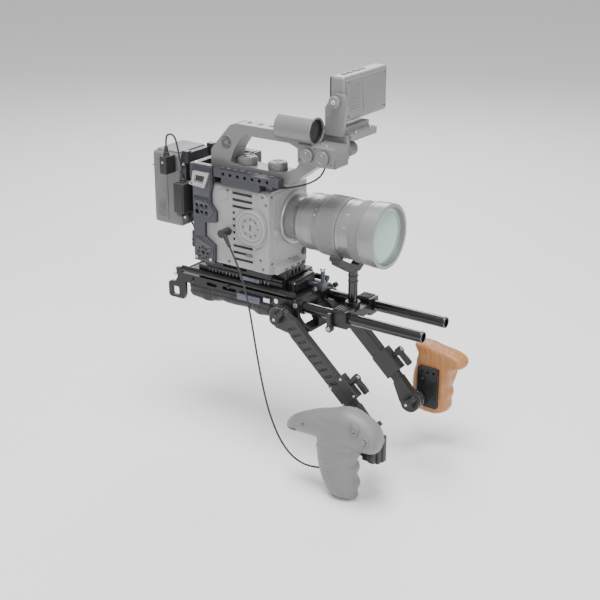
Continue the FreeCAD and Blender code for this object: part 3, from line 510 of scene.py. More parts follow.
def bump(nodes: bpy.types.Nodes, link: Callable, height: bpy.types.NodeSocket, strength: float,
         normal: bpy.types.NodeSocket | None) -> bpy.types.NodeSocket:
    """A bump from a height, over another normal where one is given.

    Args:
        nodes: the material's nodes.
        link: the material's link function.
        height: the height's socket.
        strength: how strong the bump is.
        normal: the normal underneath, if any.

    Returns:
        The bumped normal's socket.
    """
    node = nodes.new("ShaderNodeBump")
    node.inputs["Strength"].default_value = strength
    node.inputs["Distance"].default_value = 0.0004
    link(height, node.inputs["Height"])
    if normal:
        link(normal, node.inputs["Normal"])
    return node.outputs["Normal"]


class Paint(Enum):
    """Every finish of the rig."""

    FRAME = Finish("satin_black", (0.022, 0.022, 0.024), 0.34, 0.4, rub=0.5, rubbed=(0.2, 0.2, 0.2),
            depth=0.04)
    ROD = Finish("gloss_black_rod", (0.014, 0.014, 0.015), 0.16, 0.5, coat=0.6, rub=0.35,
            rubbed=(0.3, 0.3, 0.3))
    ARM = Finish("charcoal_arm", (0.034, 0.034, 0.034), 0.42, 0.25, rub=0.4, rubbed=(0.11, 0.11, 0.11))
    LEVER = Finish("blue_grey_lever", (0.12, 0.125, 0.16), 0.36, 0.45, rub=0.6, rubbed=(0.5, 0.5, 0.55))
    DARK_LEVER = Finish("black_lever", (0.035, 0.035, 0.036), 0.36, 0.4, rub=0.6, rubbed=(0.25, 0.25, 0.25))
    SLATE = Finish("slate_cage", (0.066, 0.066, 0.077), 0.3, 0.55, rub=0.7, rubbed=(0.2, 0.2, 0.24))
    CAMERA = Finish("camera_paint", (0.31, 0.31, 0.31), 0.42, depth=0.10, rub=0.3, rubbed=(0.5, 0.5, 0.5),
            spread=0.03)
    # Dark grey of the camera's screws, buttons and covers; also painted shade on the dark stand-ins for
    # holes, slots and seams.
    CAMERA_DARK = Finish("camera_dark_and_recess_shade", (0.10, 0.10, 0.10), 0.55, rub=0.0)
    LENS = Finish("lens_metal", (0.25, 0.25, 0.25), 0.3, 0.3, coat=0.3, depth=0.012, rub=0.4,
            rubbed=(0.32, 0.32, 0.32), spread=0.03)
    LENS_RING = Finish("lens_ring_cover", (0.19, 0.19, 0.19), 0.5, rub=0.3, rubbed=(0.32, 0.32, 0.32),
            spread=0.03)
    BATTERY = Finish("battery_moulding", (0.155, 0.155, 0.16), 0.45, depth=0.12, rub=0.3,
            rubbed=(0.32, 0.32, 0.32), spread=0.03)
    HANDLE = Finish("handle_paint", (0.195, 0.195, 0.195), 0.32, 0.25, rub=0.35, rubbed=(0.36, 0.36, 0.36),
            spread=0.03)
    MONITOR = Finish("monitor_moulding", (0.22, 0.22, 0.22), 0.36, 0.2, rub=0.35, rubbed=(0.36, 0.36, 0.36),
            spread=0.03)
    GRIP = Finish("soft_grip_cover", (0.185, 0.185, 0.185), 0.42, depth=0.15, rub=0.2,
            rubbed=(0.28, 0.28, 0.28), spread=0.04)
    # Matte black of the knobs, bezels and rubber rings; also painted shade in the chevron pockets, the arm
    # block's split and the clip's cut.
    DARK = Finish("matte_black_plastic_and_shade", (0.02, 0.02, 0.021), 0.5, depth=0.12, rub=0.3,
            rubbed=(0.15, 0.15, 0.15))
    CORD = Finish("black_jacket", (0.02, 0.02, 0.021), 0.55, fine=1400, depth=0.2, rub=0.0)
    STEEL = Finish("bright_steel", (0.62, 0.62, 0.63), 0.24, 1.0, rub=0.3, rubbed=(0.85, 0.85, 0.85),
            dust=0.02)
    SILVER = Finish("silver_clip", (0.45, 0.45, 0.45), 0.38, 0.75, rub=0.4, rubbed=(0.85, 0.85, 0.85))
    SCREEN = Finish("dark_screen", (0.012, 0.013, 0.016), 0.08, coat=1.0, depth=0.0, rub=0.0, spread=0.02,
            dust=0.02)
    PALE = Finish("pale_mark", (0.75, 0.75, 0.75), 0.5, rub=0.0)
    GLASS = GlassFinish()
    WOOD = WoodFinish()
    WOVEN = WovenFinish()

    @property
    def material(self) -> bpy.types.Material:
        """The finish's material."""
        return bpy.data.materials.get(self.value.name) or self.value.make()


def dress(piece: bpy.types.Object, paint: Paint) -> bpy.types.Object:
    """Gives a piece or a CAD node one material all over.

    Args:
        piece: the piece or the node.
        paint: its finish.

    Returns:
        The piece.
    """
    if not piece.material_slots:
        piece.data.materials.append(paint.material)
    for slot in piece.material_slots:
        slot.material = paint.material
    return piece


# ------------------------------------------------------------------ modelling


class Shop:
    """The bench: it starts, shapes and finishes meshes with the modelling operators.

    Attributes:
        merge: points nearer than this are one point, in metres.
        core: the inset of a swelled body's end cap, as a share of its smaller half size.
        chamfer: the largest chamfer on a ring, in mm.
    """

    merge = 1e-6
    core = 0.35
    chamfer = 0.4

    @staticmethod
    def clear() -> None:
        """Leaves edit mode with nothing selected."""
        if bpy.context.object and bpy.context.object.mode != "OBJECT":
            bpy.ops.object.mode_set(mode="OBJECT")
        bpy.ops.object.select_all(action="DESELECT")

    @classmethod
    def choose(cls, piece: bpy.types.Object) -> None:
        """Makes a piece the only chosen one, and the active one."""
        cls.clear()
        piece.select_set(True)
        bpy.context.view_layer.objects.active = piece

    @staticmethod
    def settle(name: str, smooth: float = 35.0) -> bpy.types.Object:
        """Names the active mesh, puts its place in its mesh and faces it outwards.

        Args:
            name: the piece's name.
            smooth: edges below this many degrees are shaded smooth.

        Returns:
            The finished mesh object.
        """
        piece = bpy.context.object
        piece.name = piece.data.name = name
        bpy.ops.object.transform_apply(location=True, rotation=True, scale=True)
        bpy.ops.object.mode_set(mode="EDIT")
        bpy.ops.mesh.select_all(action="SELECT")
        bpy.ops.mesh.remove_doubles(threshold=Shop.merge)
        bpy.ops.mesh.normals_make_consistent(inside=False)
        bpy.ops.object.mode_set(mode="OBJECT")
        bpy.ops.object.shade_smooth_by_angle(angle=math.radians(smooth))
        return piece

    @staticmethod
    def apply(piece: bpy.types.Object, kind: str, **settings: object) -> bpy.types.Object:
        """Adds one modifier, sets it and applies it.

        Args:
            piece: the mesh.
            kind: the modifier's type.
            **settings: the modifier's values by name.

        Returns:
            The piece.
        """
        bpy.context.view_layer.objects.active = piece
        modifier = piece.modifiers.new(kind.lower(), kind)
        for title, value in settings.items():
            setattr(modifier, title, value)
        bpy.ops.object.modifier_apply(modifier=modifier.name)
        return piece

    @classmethod
    def block(cls, name: str, low: Point, high: Point, edge: float = 1.0, steps: int = 3) -> bpy.types.Object:
        """A block with rounded edges.

        Args:
            name: the piece's name.
            low: its lowest corner, in mm.
            high: its highest corner, in mm.
            edge: the radius of its edges, in mm.
            steps: how many strips round an edge.

        Returns:
            The block.
        """
        cls.clear()
        middle = [(a + b) / 2 * MM for a, b in zip(low, high)]
        size = [(b - a) * MM for a, b in zip(low, high)]
        bpy.ops.mesh.primitive_cube_add(size=1, location=middle, scale=size)
        bpy.ops.object.transform_apply(location=True, rotation=True, scale=True)
        cls.apply(bpy.context.object, "BEVEL", width=edge * MM, segments=steps, limit_method="ANGLE")
        return cls.settle(name)

    @classmethod
    def turned(cls, name: str, base: Point, axis: Axis, profile: Sequence[tuple[float, float]],
               sides: int = 48, back: bool = False) -> bpy.types.Object:
        """A round piece: a disc is extruded and sized from step to step.

        Args:
            name: the piece's name.
            base: the middle of its first disc, in mm.
            axis: the axis it stands along.
            profile: each step's radius and distance from the base, in mm.
            sides: how many sides the round has.
            back: whether it grows against the axis.

        Returns:
            The turned piece.
        """
        cls.clear()
        centre = Vector(base) * MM
        bpy.ops.mesh.primitive_circle_add(vertices=sides, radius=profile[0][0] * MM, fill_type="NGON",
                                          location=centre, rotation=axis.turn)
        bpy.ops.object.transform_apply(location=True, rotation=True, scale=True)
        bpy.ops.object.mode_set(mode="EDIT")
        bpy.ops.mesh.select_all(action="SELECT")
        radius, along = profile[0]
        way = axis.ahead * (-1 if back else 1)
        for wide, far in profile[1:]:
            bpy.ops.mesh.extrude_region_move(TRANSFORM_OT_translate={"value": way * (far - along) * MM})
            if abs(wide - radius) > cls.merge:
                share = wide / radius
                scale = tuple(1.0 if abs(part) > 0.5 else share for part in axis.ahead)
                bpy.ops.transform.resize(value=scale, center_override=centre + way * far * MM)
            radius, along = wide, far
        bpy.ops.object.mode_set(mode="OBJECT")
        return cls.settle(name)

    @classmethod
    def cast(cls, name: str, plane: str, outline: Sequence[tuple[float, float]], low: float, high: float,
             edge: float = 0.8, steps: int = 3) -> bpy.types.Object:
        """A plate of any outline with rounded edges.

        Args:
            name: the piece's name.
            plane: the two axes that the outline lies in, such as "XZ".
            outline: its corners, in mm.
            low: where it starts along the third axis, in mm.
            high: where it ends, in mm.
            edge: the radius of its edges, in mm.
            steps: how many strips round an edge.

        Returns:
            The plate.
        """
        cls.clear()
        first, second = ("XYZ".index(letter) for letter in plane)
        third = 3 - first - second
        bpy.ops.mesh.primitive_circle_add(vertices=len(outline), radius=1, fill_type="NGON")
        for vertex, (across, up) in zip(bpy.context.object.data.vertices, outline):
            vertex.co[first], vertex.co[second], vertex.co[third] = across * MM, up * MM, low * MM
        push = [0.0, 0.0, 0.0]
        push[third] = (high - low) * MM
        bpy.ops.object.mode_set(mode="EDIT")
        bpy.ops.mesh.select_all(action="SELECT")
        bpy.ops.mesh.extrude_region_move(TRANSFORM_OT_translate={"value": push})
        bpy.ops.mesh.select_all(action="SELECT")
        bpy.ops.mesh.normals_make_consistent(inside=False)
        bpy.ops.object.mode_set(mode="OBJECT")
        if edge:
            cls.apply(bpy.context.object, "BEVEL", width=edge * MM, segments=steps, limit_method="ANGLE")
        return cls.settle(name)

    @classmethod
    def swelled(cls, name: str, axis: Axis, ovals: Sequence[tuple[float, Point, Point]], sides: int = 20,
                levels: int = 2) -> bpy.types.Object:
        """A smooth body through ovals.

        Args:
            name: the piece's name.
            axis: the axis that the ovals are stacked along.
            ovals: each oval's place on the axis, its middle and its half sizes on the other two axes, in mm.
            sides: how many sides an oval has.
            levels: how often it is subdivided.

        Returns:
            The body.
        """
        cls.clear()
        main = [Axis.X, Axis.Y, Axis.Z].index(axis)
        others = [index for index in range(3) if index != main]

        def spot(at: float, pair: Point) -> Vector:
            """A point at a place on the main axis, in metres."""
            place = Vector((0, 0, 0))
            place[main] = at * MM
            for index, value in zip(others, pair):
                place[index] = value * MM
            return place

        at, middle, halves = ovals[0]
        bpy.ops.mesh.primitive_circle_add(vertices=sides, radius=1, fill_type="NGON", rotation=axis.turn)
        bpy.ops.object.transform_apply(location=True, rotation=True, scale=True)
        piece = bpy.context.object
        for vertex in piece.data.vertices:
            for index, half in zip(others, halves):
                vertex.co[index] *= half * MM
            vertex.co += spot(at, middle)
        bpy.ops.object.mode_set(mode="EDIT")
        bpy.ops.mesh.select_all(action="SELECT")
        bpy.ops.mesh.inset(thickness=min(halves) * cls.core * MM)
        bpy.ops.mesh.select_all(action="SELECT")
        for far, centre, wide in ovals[1:]:
            bpy.ops.mesh.extrude_region_move(
                TRANSFORM_OT_translate={"value": spot(far, centre) - spot(at, middle)})
            scale = [1.0, 1.0, 1.0]
            for index, new, old in zip(others, wide, halves):
                scale[index] = new / old
            bpy.ops.transform.resize(value=scale, center_override=spot(far, centre))
            at, middle, halves = far, centre, wide
        bpy.ops.object.mode_set(mode="OBJECT")
        cls.settle(name)
        if levels:
            cls.apply(piece, "SUBSURF", levels=levels, render_levels=levels)
        return cls.settle(name, 60)

    @classmethod
    def copies(cls, piece: bpy.types.Object, shifts: Iterable[Point], name: str) -> bpy.types.Object:
        """Copies a piece to each shift, each with its own mesh, and joins the row into one piece.

        Args:
            piece: the model, which is left where it is as the first of the row.
            shifts: the way from the model to each copy, in mm.
            name: the joined row's name.

        Returns:
            The joined row.
        """
        made = [piece]
        for shift in shifts:
            copy = piece.copy()
            copy.data = piece.data.copy()
            for vertex in copy.data.vertices:
                vertex.co += Vector(shift) * MM
            bpy.context.scene.collection.objects.link(copy)
            made.append(copy)
        return cls.joined(made, name)

    @classmethod
    def ring_of(cls, piece: bpy.types.Object, centre: Point, axis: Axis, count: int,
            name: str) -> bpy.types.Object:
        """Copies a piece round an axis and joins the ring into one piece.

        Args:
            piece: the model, which stays as the first of the ring.
            centre: a point on the axis, in mm.
            axis: the axis that it turns about.
            count: how many there are in the ring.
            name: the joined ring's name.

        Returns:
            The joined ring.
        """
        made = [piece]
        middle = Vector(centre) * MM
        for index in range(1, count):
            copy = piece.copy()
            copy.data = piece.data.copy()
            turn = Vector(axis.ahead)
            step = math.tau * index / count
            for vertex in copy.data.vertices:
                offset = vertex.co - middle
                offset.rotate(_about(turn, step))
                vertex.co = middle + offset
            bpy.context.scene.collection.objects.link(copy)
            made.append(copy)
        return cls.joined(made, name)

    @classmethod
    def joined(cls, made: Sequence[bpy.types.Object], name: str) -> bpy.types.Object:
        """Joins meshes into one piece with one name.

        Args:
            made: the meshes.
            name: the joined piece's name.

        Returns:
            The joined piece.
        """
        cls.clear()
        for item in made:
            item.select_set(True)
        bpy.context.view_layer.objects.active = made[0]
        if len(made) > 1:
            bpy.ops.object.join()
        piece = bpy.context.object
        piece.name = piece.data.name = name
        return piece

    @classmethod
    def carve(cls, piece: bpy.types.Object, tool: bpy.types.Object) -> bpy.types.Object:
        """Cuts a tool out of a piece and removes the tool."""
        cls.apply(piece, "BOOLEAN", object=tool, operation="DIFFERENCE", solver="EXACT")
        bpy.data.objects.remove(tool)
        return piece

    @classmethod
    def ring(cls, name: str, base: Point, axis: Axis, outer: float, inner: float, tall: float,
             back: bool = False) -> bpy.types.Object:
        """A chamfered ring with an open middle.

        Args:
            name: the ring's name.
            base: the middle of its first face, in mm.
            axis: the axis it stands along.
            outer: its outer radius, in mm.
            inner: its bore's radius, in mm.
            tall: its height, in mm.
            back: whether it grows against the axis.

        Returns:
            The ring.
        """
        edge = min(cls.chamfer, tall / 2)
        body = cls.turned(name, base, axis, [(outer, 0), (outer, tall - edge), (outer - edge, tall)], 40,
                back)
        start = Vector(base) - axis.ahead * (-1 if back else 1)
        return cls.carve(body, cls.turned("bore", start, axis, [(inner, 0), (inner, tall + 3)], 40, back))

    @classmethod
    def turn_about(cls, piece: bpy.types.Object, centre: Point, axis: Axis,
            degrees: float) -> bpy.types.Object:
        """Turns a finished mesh about a point.

        Args:
            piece: the mesh.
            centre: the point, in mm.
            axis: the axis that it turns about.
            degrees: how far it turns.

        Returns:
            The piece.
        """
        middle = Vector(centre) * MM
        turn = _about(Vector(axis.ahead), math.radians(degrees))
        for vertex in piece.data.vertices:
            offset = vertex.co - middle
            offset.rotate(turn)
            vertex.co = middle + offset
        return piece

    @classmethod
    def mirrored(cls, piece: bpy.types.Object, name: str) -> bpy.types.Object:
        """A copy of a piece on the other side of the centre plane.

        Args:
            piece: the model.
            name: the copy's name.

        Returns:
            The mirrored copy.
        """
        copy = piece.copy()
        copy.data = piece.data.copy()
        for vertex in copy.data.vertices:
            vertex.co.y = -vertex.co.y
        bpy.context.scene.collection.objects.link(copy)
        cls.choose(copy)
        return cls.settle(name)


def _about(axis: Vector, angle: float) -> Quaternion:
    """The turn by an angle about an axis."""
    return Quaternion(axis, angle)


def fit(piece: bpy.types.Object, body: Body | str, paint: Paint) -> bpy.types.Object:
    """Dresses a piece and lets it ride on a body.

    Args:
        piece: the finished mesh.
        body: the body it moves with.
        paint: its finish.

    Returns:
        The piece.
    """
    dress(piece, paint)
    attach(piece, body.value if isinstance(body, Body) else body)
    LOG.info("%s: %d faces on %s", piece.name, len(piece.data.polygons), body)
    return piece


# ------------------------------------------------------------------ studio


@dataclass
class Studio:
    """The floor, the soft lights and the camera."""

    eye: Point = (1.01093, -1.32481, 0.64765)
    azimuth: float = 34.83
    elevation: float = 21.43
    lens: float = 75.6
    sensor: float = 36
    floor_size: float = 12
    floor_gap: float = 0.0015
    sky: float = 0.62

    def build(self) -> None:
        """Makes the whole studio."""
        self.camera()
        self.floor()
        self.lights()

    def camera(self) -> None:
        """Sets the camera at the rig's viewing angle."""
        turn, lift = math.radians(self.azimuth), math.radians(self.elevation)
        toward = -Vector((math.sin(turn) * math.cos(lift), -math.cos(turn) * math.cos(lift), math.sin(lift)))
        data = bpy.data.cameras.new("view")
        data.lens, data.sensor_width = self.lens, self.sensor
        data.clip_end = 50
        camera = bpy.data.objects.new("view", data)
        bpy.context.scene.collection.objects.link(camera)
        camera.location = self.eye
        camera.rotation_euler = toward.to_track_quat("-Z", "Y").to_euler()
        bpy.context.scene.camera = camera

    def floor(self) -> None:
        """Lays a plain pale floor under the rig."""
        Shop.clear()
        bpy.ops.mesh.primitive_plane_add(size=self.floor_size,
                location=(0.4, 0, CAD_BOX[0][2] - self.floor_gap))
        floor = bpy.context.object
        floor.name = "studio_floor"
        bpy.ops.object.transform_apply(location=True, rotation=True, scale=True)
        material, _, _, shader = begin_material("pale_floor")
        shader.inputs["Base Color"].default_value = (0.93, 0.93, 0.93, 1)
        shader.inputs["Roughness"].default_value = 0.8
        floor.data.materials.append(material)

    def lights(self) -> None:
        """Hangs three soft lights and a pale sky."""
        world = bpy.data.worlds.new("pale_sky")
        world.use_nodes = True
        sky = world.node_tree.nodes["Background"]
        sky.inputs["Color"].default_value = (1, 1, 1, 1)
        sky.inputs["Strength"].default_value = self.sky
        bpy.context.scene.world = world
        for name, place, power, size in (
                ("key", (0.15, -0.35, 2.0), 64, 1.1),
                ("front", (1.7, -0.9, 0.8), 15, 0.7),
                ("rim", (-0.8, 1.4, 1.2), 20, 1.0)):
            data = bpy.data.lights.new(name, "AREA")
            data.energy, data.size = power, size
            light = bpy.data.objects.new(name, data)
            bpy.context.scene.collection.objects.link(light)
            light.location = place
            light.rotation_euler = (Vector((0.05, 0, 0.05)) - Vector(place)).to_track_quat("-Z",
                    "Y").to_euler()


# ------------------------------------------------------------------ cords


@dataclass
class Cord:
    """A free cable on one smooth line.

    Attributes:
        name: the piece's name.
        route: the control points of its line, in mm.
        radius: its radius, in mm.
        node: the CAD node it stands for.
        length: its real length, in mm.
    """

    name: str
    route: Sequence[Point]
    radius: float
    node: str
    length: float

    def line(self) -> list[Vector]:
        """Reads points along the route's smooth line.

        Returns:
            The points, in metres.
        """
        data = bpy.data.curves.new(self.name + "_line", "CURVE")
        data.dimensions = "3D"
        data.resolution_u = 10
        spline = data.splines.new("NURBS")
        spline.points.add(len(self.route) - 1)
        for point, place in zip(spline.points, self.route):
            point.co = (*(value * MM for value in place), 1)
        spline.order_u = 3
        spline.use_endpoint_u = True
        holder = bpy.data.objects.new(self.name + "_line", data)
        bpy.context.scene.collection.objects.link(holder)
        bpy.context.view_layer.update()
        mesh = bpy.data.meshes.new_from_object(holder.evaluated_get(bpy.context.evaluated_depsgraph_get()))
        points = [vertex.co.copy() for vertex in mesh.vertices]
        bpy.data.objects.remove(holder)
        bpy.data.meshes.remove(mesh)
        return points

    def tube(self, name: str, points: Sequence[Vector], thick: float = 1.0) -> bpy.types.Object:
        """A mesh tube along points.

        Args:
            name: the tube's name.
            points: what it follows, in metres.
            thick: a factor on the radius.

        Returns:
            The tube.
        """
        Shop.clear()
        data = bpy.data.curves.new(name, "CURVE")
        data.dimensions = "3D"
        data.bevel_depth = self.radius * thick * MM
        data.bevel_resolution = 3
        data.use_fill_caps = True
        spline = data.splines.new("POLY")
        spline.points.add(len(points) - 1)
        for point, place in zip(spline.points, points):
            point.co = (*place, 1)
        piece = bpy.data.objects.new(name, data)
        bpy.context.scene.collection.objects.link(piece)
        piece.select_set(True)
        bpy.context.view_layer.objects.active = piece
        bpy.ops.object.convert(target="MESH")
        return Shop.settle(name, 60)

    def declare(self, piece: bpy.types.Object, points: Sequence[Vector], lay: str, length: float) -> None:
        """Args:
            piece: the tube; not used.
            points: what the tube follows, in metres; not used.
            lay: how it lies; not used.
            length: its real length, in mm; not used.
        """

    def build(self, body: Body, lay: str = "loose") -> None:
        """Makes a cable that stays on one body.

        Args:
            body: the body that it rides on.
            lay: how it lies.
        """
        points = self.line()
        piece = self.tube(self.name, points)
        fit(piece, body, Paint.CORD)
        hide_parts(self.node)
        self.declare(piece, points, lay, self.length)


@dataclass
class RemoteCable(Cord):
    """The long cable that crosses the camera, the frame and the right arm down to the grip."""

    name: str = "remote_run"
    route: Sequence[Point] = (
        (25.2, -72.7, 99.6), (41.4, -76, 77), (56, -82, 53), (67.7, -88, 28.5), (75.4, -92, 6),
        (82.4, -95, -19), (89.7, -98, -44), (97.6, -100.5, -72), (109.5, -103, -108), (126.5, -104.5, -141),
        (145, -105.5, -160), (165, -106, -168), (184, -106.6, -167.5), (195.8, -107, -164.5))
    radius: float = 1.3
    node: str = "remote_cable"
    length: float = 345
    chain: Sequence[tuple[Body, Body, float, float]] = (
        (Body.CAMERA, Body.FRAME, 0.31, 115), (Body.FRAME, Body.RIGHT_ARM, 0.60, 101),
        (Body.RIGHT_ARM, Body.RIGHT_SLIDER, 0.80, 78), (Body.RIGHT_SLIDER, Body.RIGHT_GRIP, 1.0, 51))

    def build(self) -> None:
        """Splits the line at shares of its points, one run for each pair of joined bodies."""
        points = self.line()
        first = 0
        for index, (near, far, share, length) in enumerate(self.chain):
            last = round(share * (len(points) - 1))
            run = points[first:last + 1]
            piece = self.tube("%s_%d" % (self.name, index + 1), run)
            dress(piece, Paint.CORD)
            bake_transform(piece)
            if index == 0:
                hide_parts(self.node)
            self.declare(piece, run, "hanging", length)
            LOG.info("%s: crosses %s to %s", piece.name, near.value, far.value)
            first = last


def build_cords() -> None:
    """Makes the four free cables."""
    RemoteCable().build()
    Cord("battery_lead_run", ((-99.2, -50, 213.5), (-99.2, -50, 226.3), (-94.8, -50, 231.4),
            (-88.2, -50, 232.4), (-82.6, -50, 228.8), (-78.8, -50, 216.4), (-75, -50.6, 199),
            (-71.5, -50, 181)), 1.3, "battery_lead", 81).build(Body.CAMERA)
    Cord("outlet_lead_run", (
        (-65, -50, 127), (-65, -49.8, 117.6), (-55.2, -47.4, 108.4), (-55, -47, 99)), 1.3,
        "outlet_lead", 30.3).build(Body.CAMERA)
    Cord("handle_cable_run", (
        (158, -43.5, 223), (154.5, -43.4, 213.5), (144, -43.4, 204), (128.5, -43, 195.5), (109, -42.8, 189),
        (91, -42.6, 184), (74, -42, 181.5)), 1.2, "handle_cable", 98).build(Body.CAMERA)


# ------------------------------------------------------------------ pad


@dataclass
class ShoulderPad:
    """The foam pad under the frame, with a woven cover and sewn channels.

    Attributes:
        voxel: the remeshed cover's grid, in metres.
        start: the cover's size before it swells, as a share of the pad's.
        pressure: the cloth's inner pressure.
        steps: how many frames the cloth swells for.
        swell: the most that the cover may move, in metres.
        below: the most that it may hang under the pad, in metres.
        aside: the most that it may stand out at each side, in metres.
        fill: how tight the pad is, from 0 to 1.
        seams: where the cross seams are along the pad, in mm.
        side_seam: how far out the long seams are, in mm.
        side_seam_top: the height under which the long seams show, in metres.
        belt: the height of the seam round the pad, in mm.
        channel_depth: how deep a seam is pressed in, in mm.
        channel_width: how wide it is, in mm.
    """

    voxel: float = 0.004
    start: float = 0.975
    pressure: float = 4
    steps: int = 20
    swell: float = 0.004
    below: float = 0.002
    aside: float = 0.0008
    # fill: how tight the pad is, from 0 to 1; not used.
    fill: float = 0.8
    seams: Sequence[float] = (-36, 34)
    side_seam: float = 31
    side_seam_top: float = 0.012
    belt: float = 9.5
    channel_depth: float = 1.1
    channel_width: float = 1.5

    def build(self) -> None:
        """Copies the pad's shape, swells it as cloth and presses the seams in."""
        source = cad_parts["shoulder_pad"]
        low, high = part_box("shoulder_pad")
        piece = bpy.data.objects.new("pad_cushion", source.data.copy())
        bpy.context.scene.collection.objects.link(piece)
        Shop.choose(piece)
        piece.data.materials.clear()
        Shop.settle("pad_cushion")
        middle = (low + high) / 2
        for vertex in piece.data.vertices:
            vertex.co = middle + (vertex.co - middle) * self.start
        Shop.apply(piece, "REMESH", mode="VOXEL", voxel_size=self.voxel, adaptivity=0.0)
        rest = [vertex.co.copy() for vertex in piece.data.vertices]
        cloth = piece.modifiers.new("cloth", "CLOTH")
        cloth.settings.use_pressure = True
        cloth.settings.uniform_pressure_force = self.pressure
        cloth.settings.effector_weights.gravity = 0
        for step in range(1, self.steps + 1):
            bpy.context.scene.frame_set(step)
        bpy.context.view_layer.objects.active = piece
        bpy.ops.object.modifier_apply(modifier=cloth.name)
        bpy.context.scene.frame_set(1)
        for vertex, before in zip(piece.data.vertices, rest):
            move = vertex.co - before
            if move.length > self.swell:
                vertex.co = before + move.normalized() * self.swell
        Shop.apply(piece, "SUBSURF", levels=1, render_levels=1)
        self.press_seams(piece)
        for vertex in piece.data.vertices:
            vertex.co.z = min(max(vertex.co.z, low.z - self.below), high.z)
            vertex.co.y = max(min(vertex.co.y, high.y + self.aside), low.y - self.aside)
            vertex.co.x = max(min(vertex.co.x, high.x), low.x)
        Shop.choose(piece)
        bpy.ops.object.shade_smooth()
        fit(piece, Body.FRAME, Paint.WOVEN)
        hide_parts("shoulder_pad")

    def press_seams(self, piece: bpy.types.Object) -> None:
        """Presses a channel across the pad at each seam and one along each long side."""
        for vertex in piece.data.vertices:
            deep = 0.0
            for seam in self.seams:
                deep += math.exp(-((vertex.co.x / MM - seam) / self.channel_width) ** 2)
            away = (abs(vertex.co.y) / MM - self.side_seam) / self.channel_width
            deep += math.exp(-away ** 2) * (vertex.co.z < self.side_seam_top)
            deep += math.exp(-((vertex.co.z / MM - self.belt) / self.channel_width) ** 2)
            vertex.co -= vertex.normal * min(deep, 1.0) * self.channel_depth * MM


# ------------------------------------------------------------------ grips


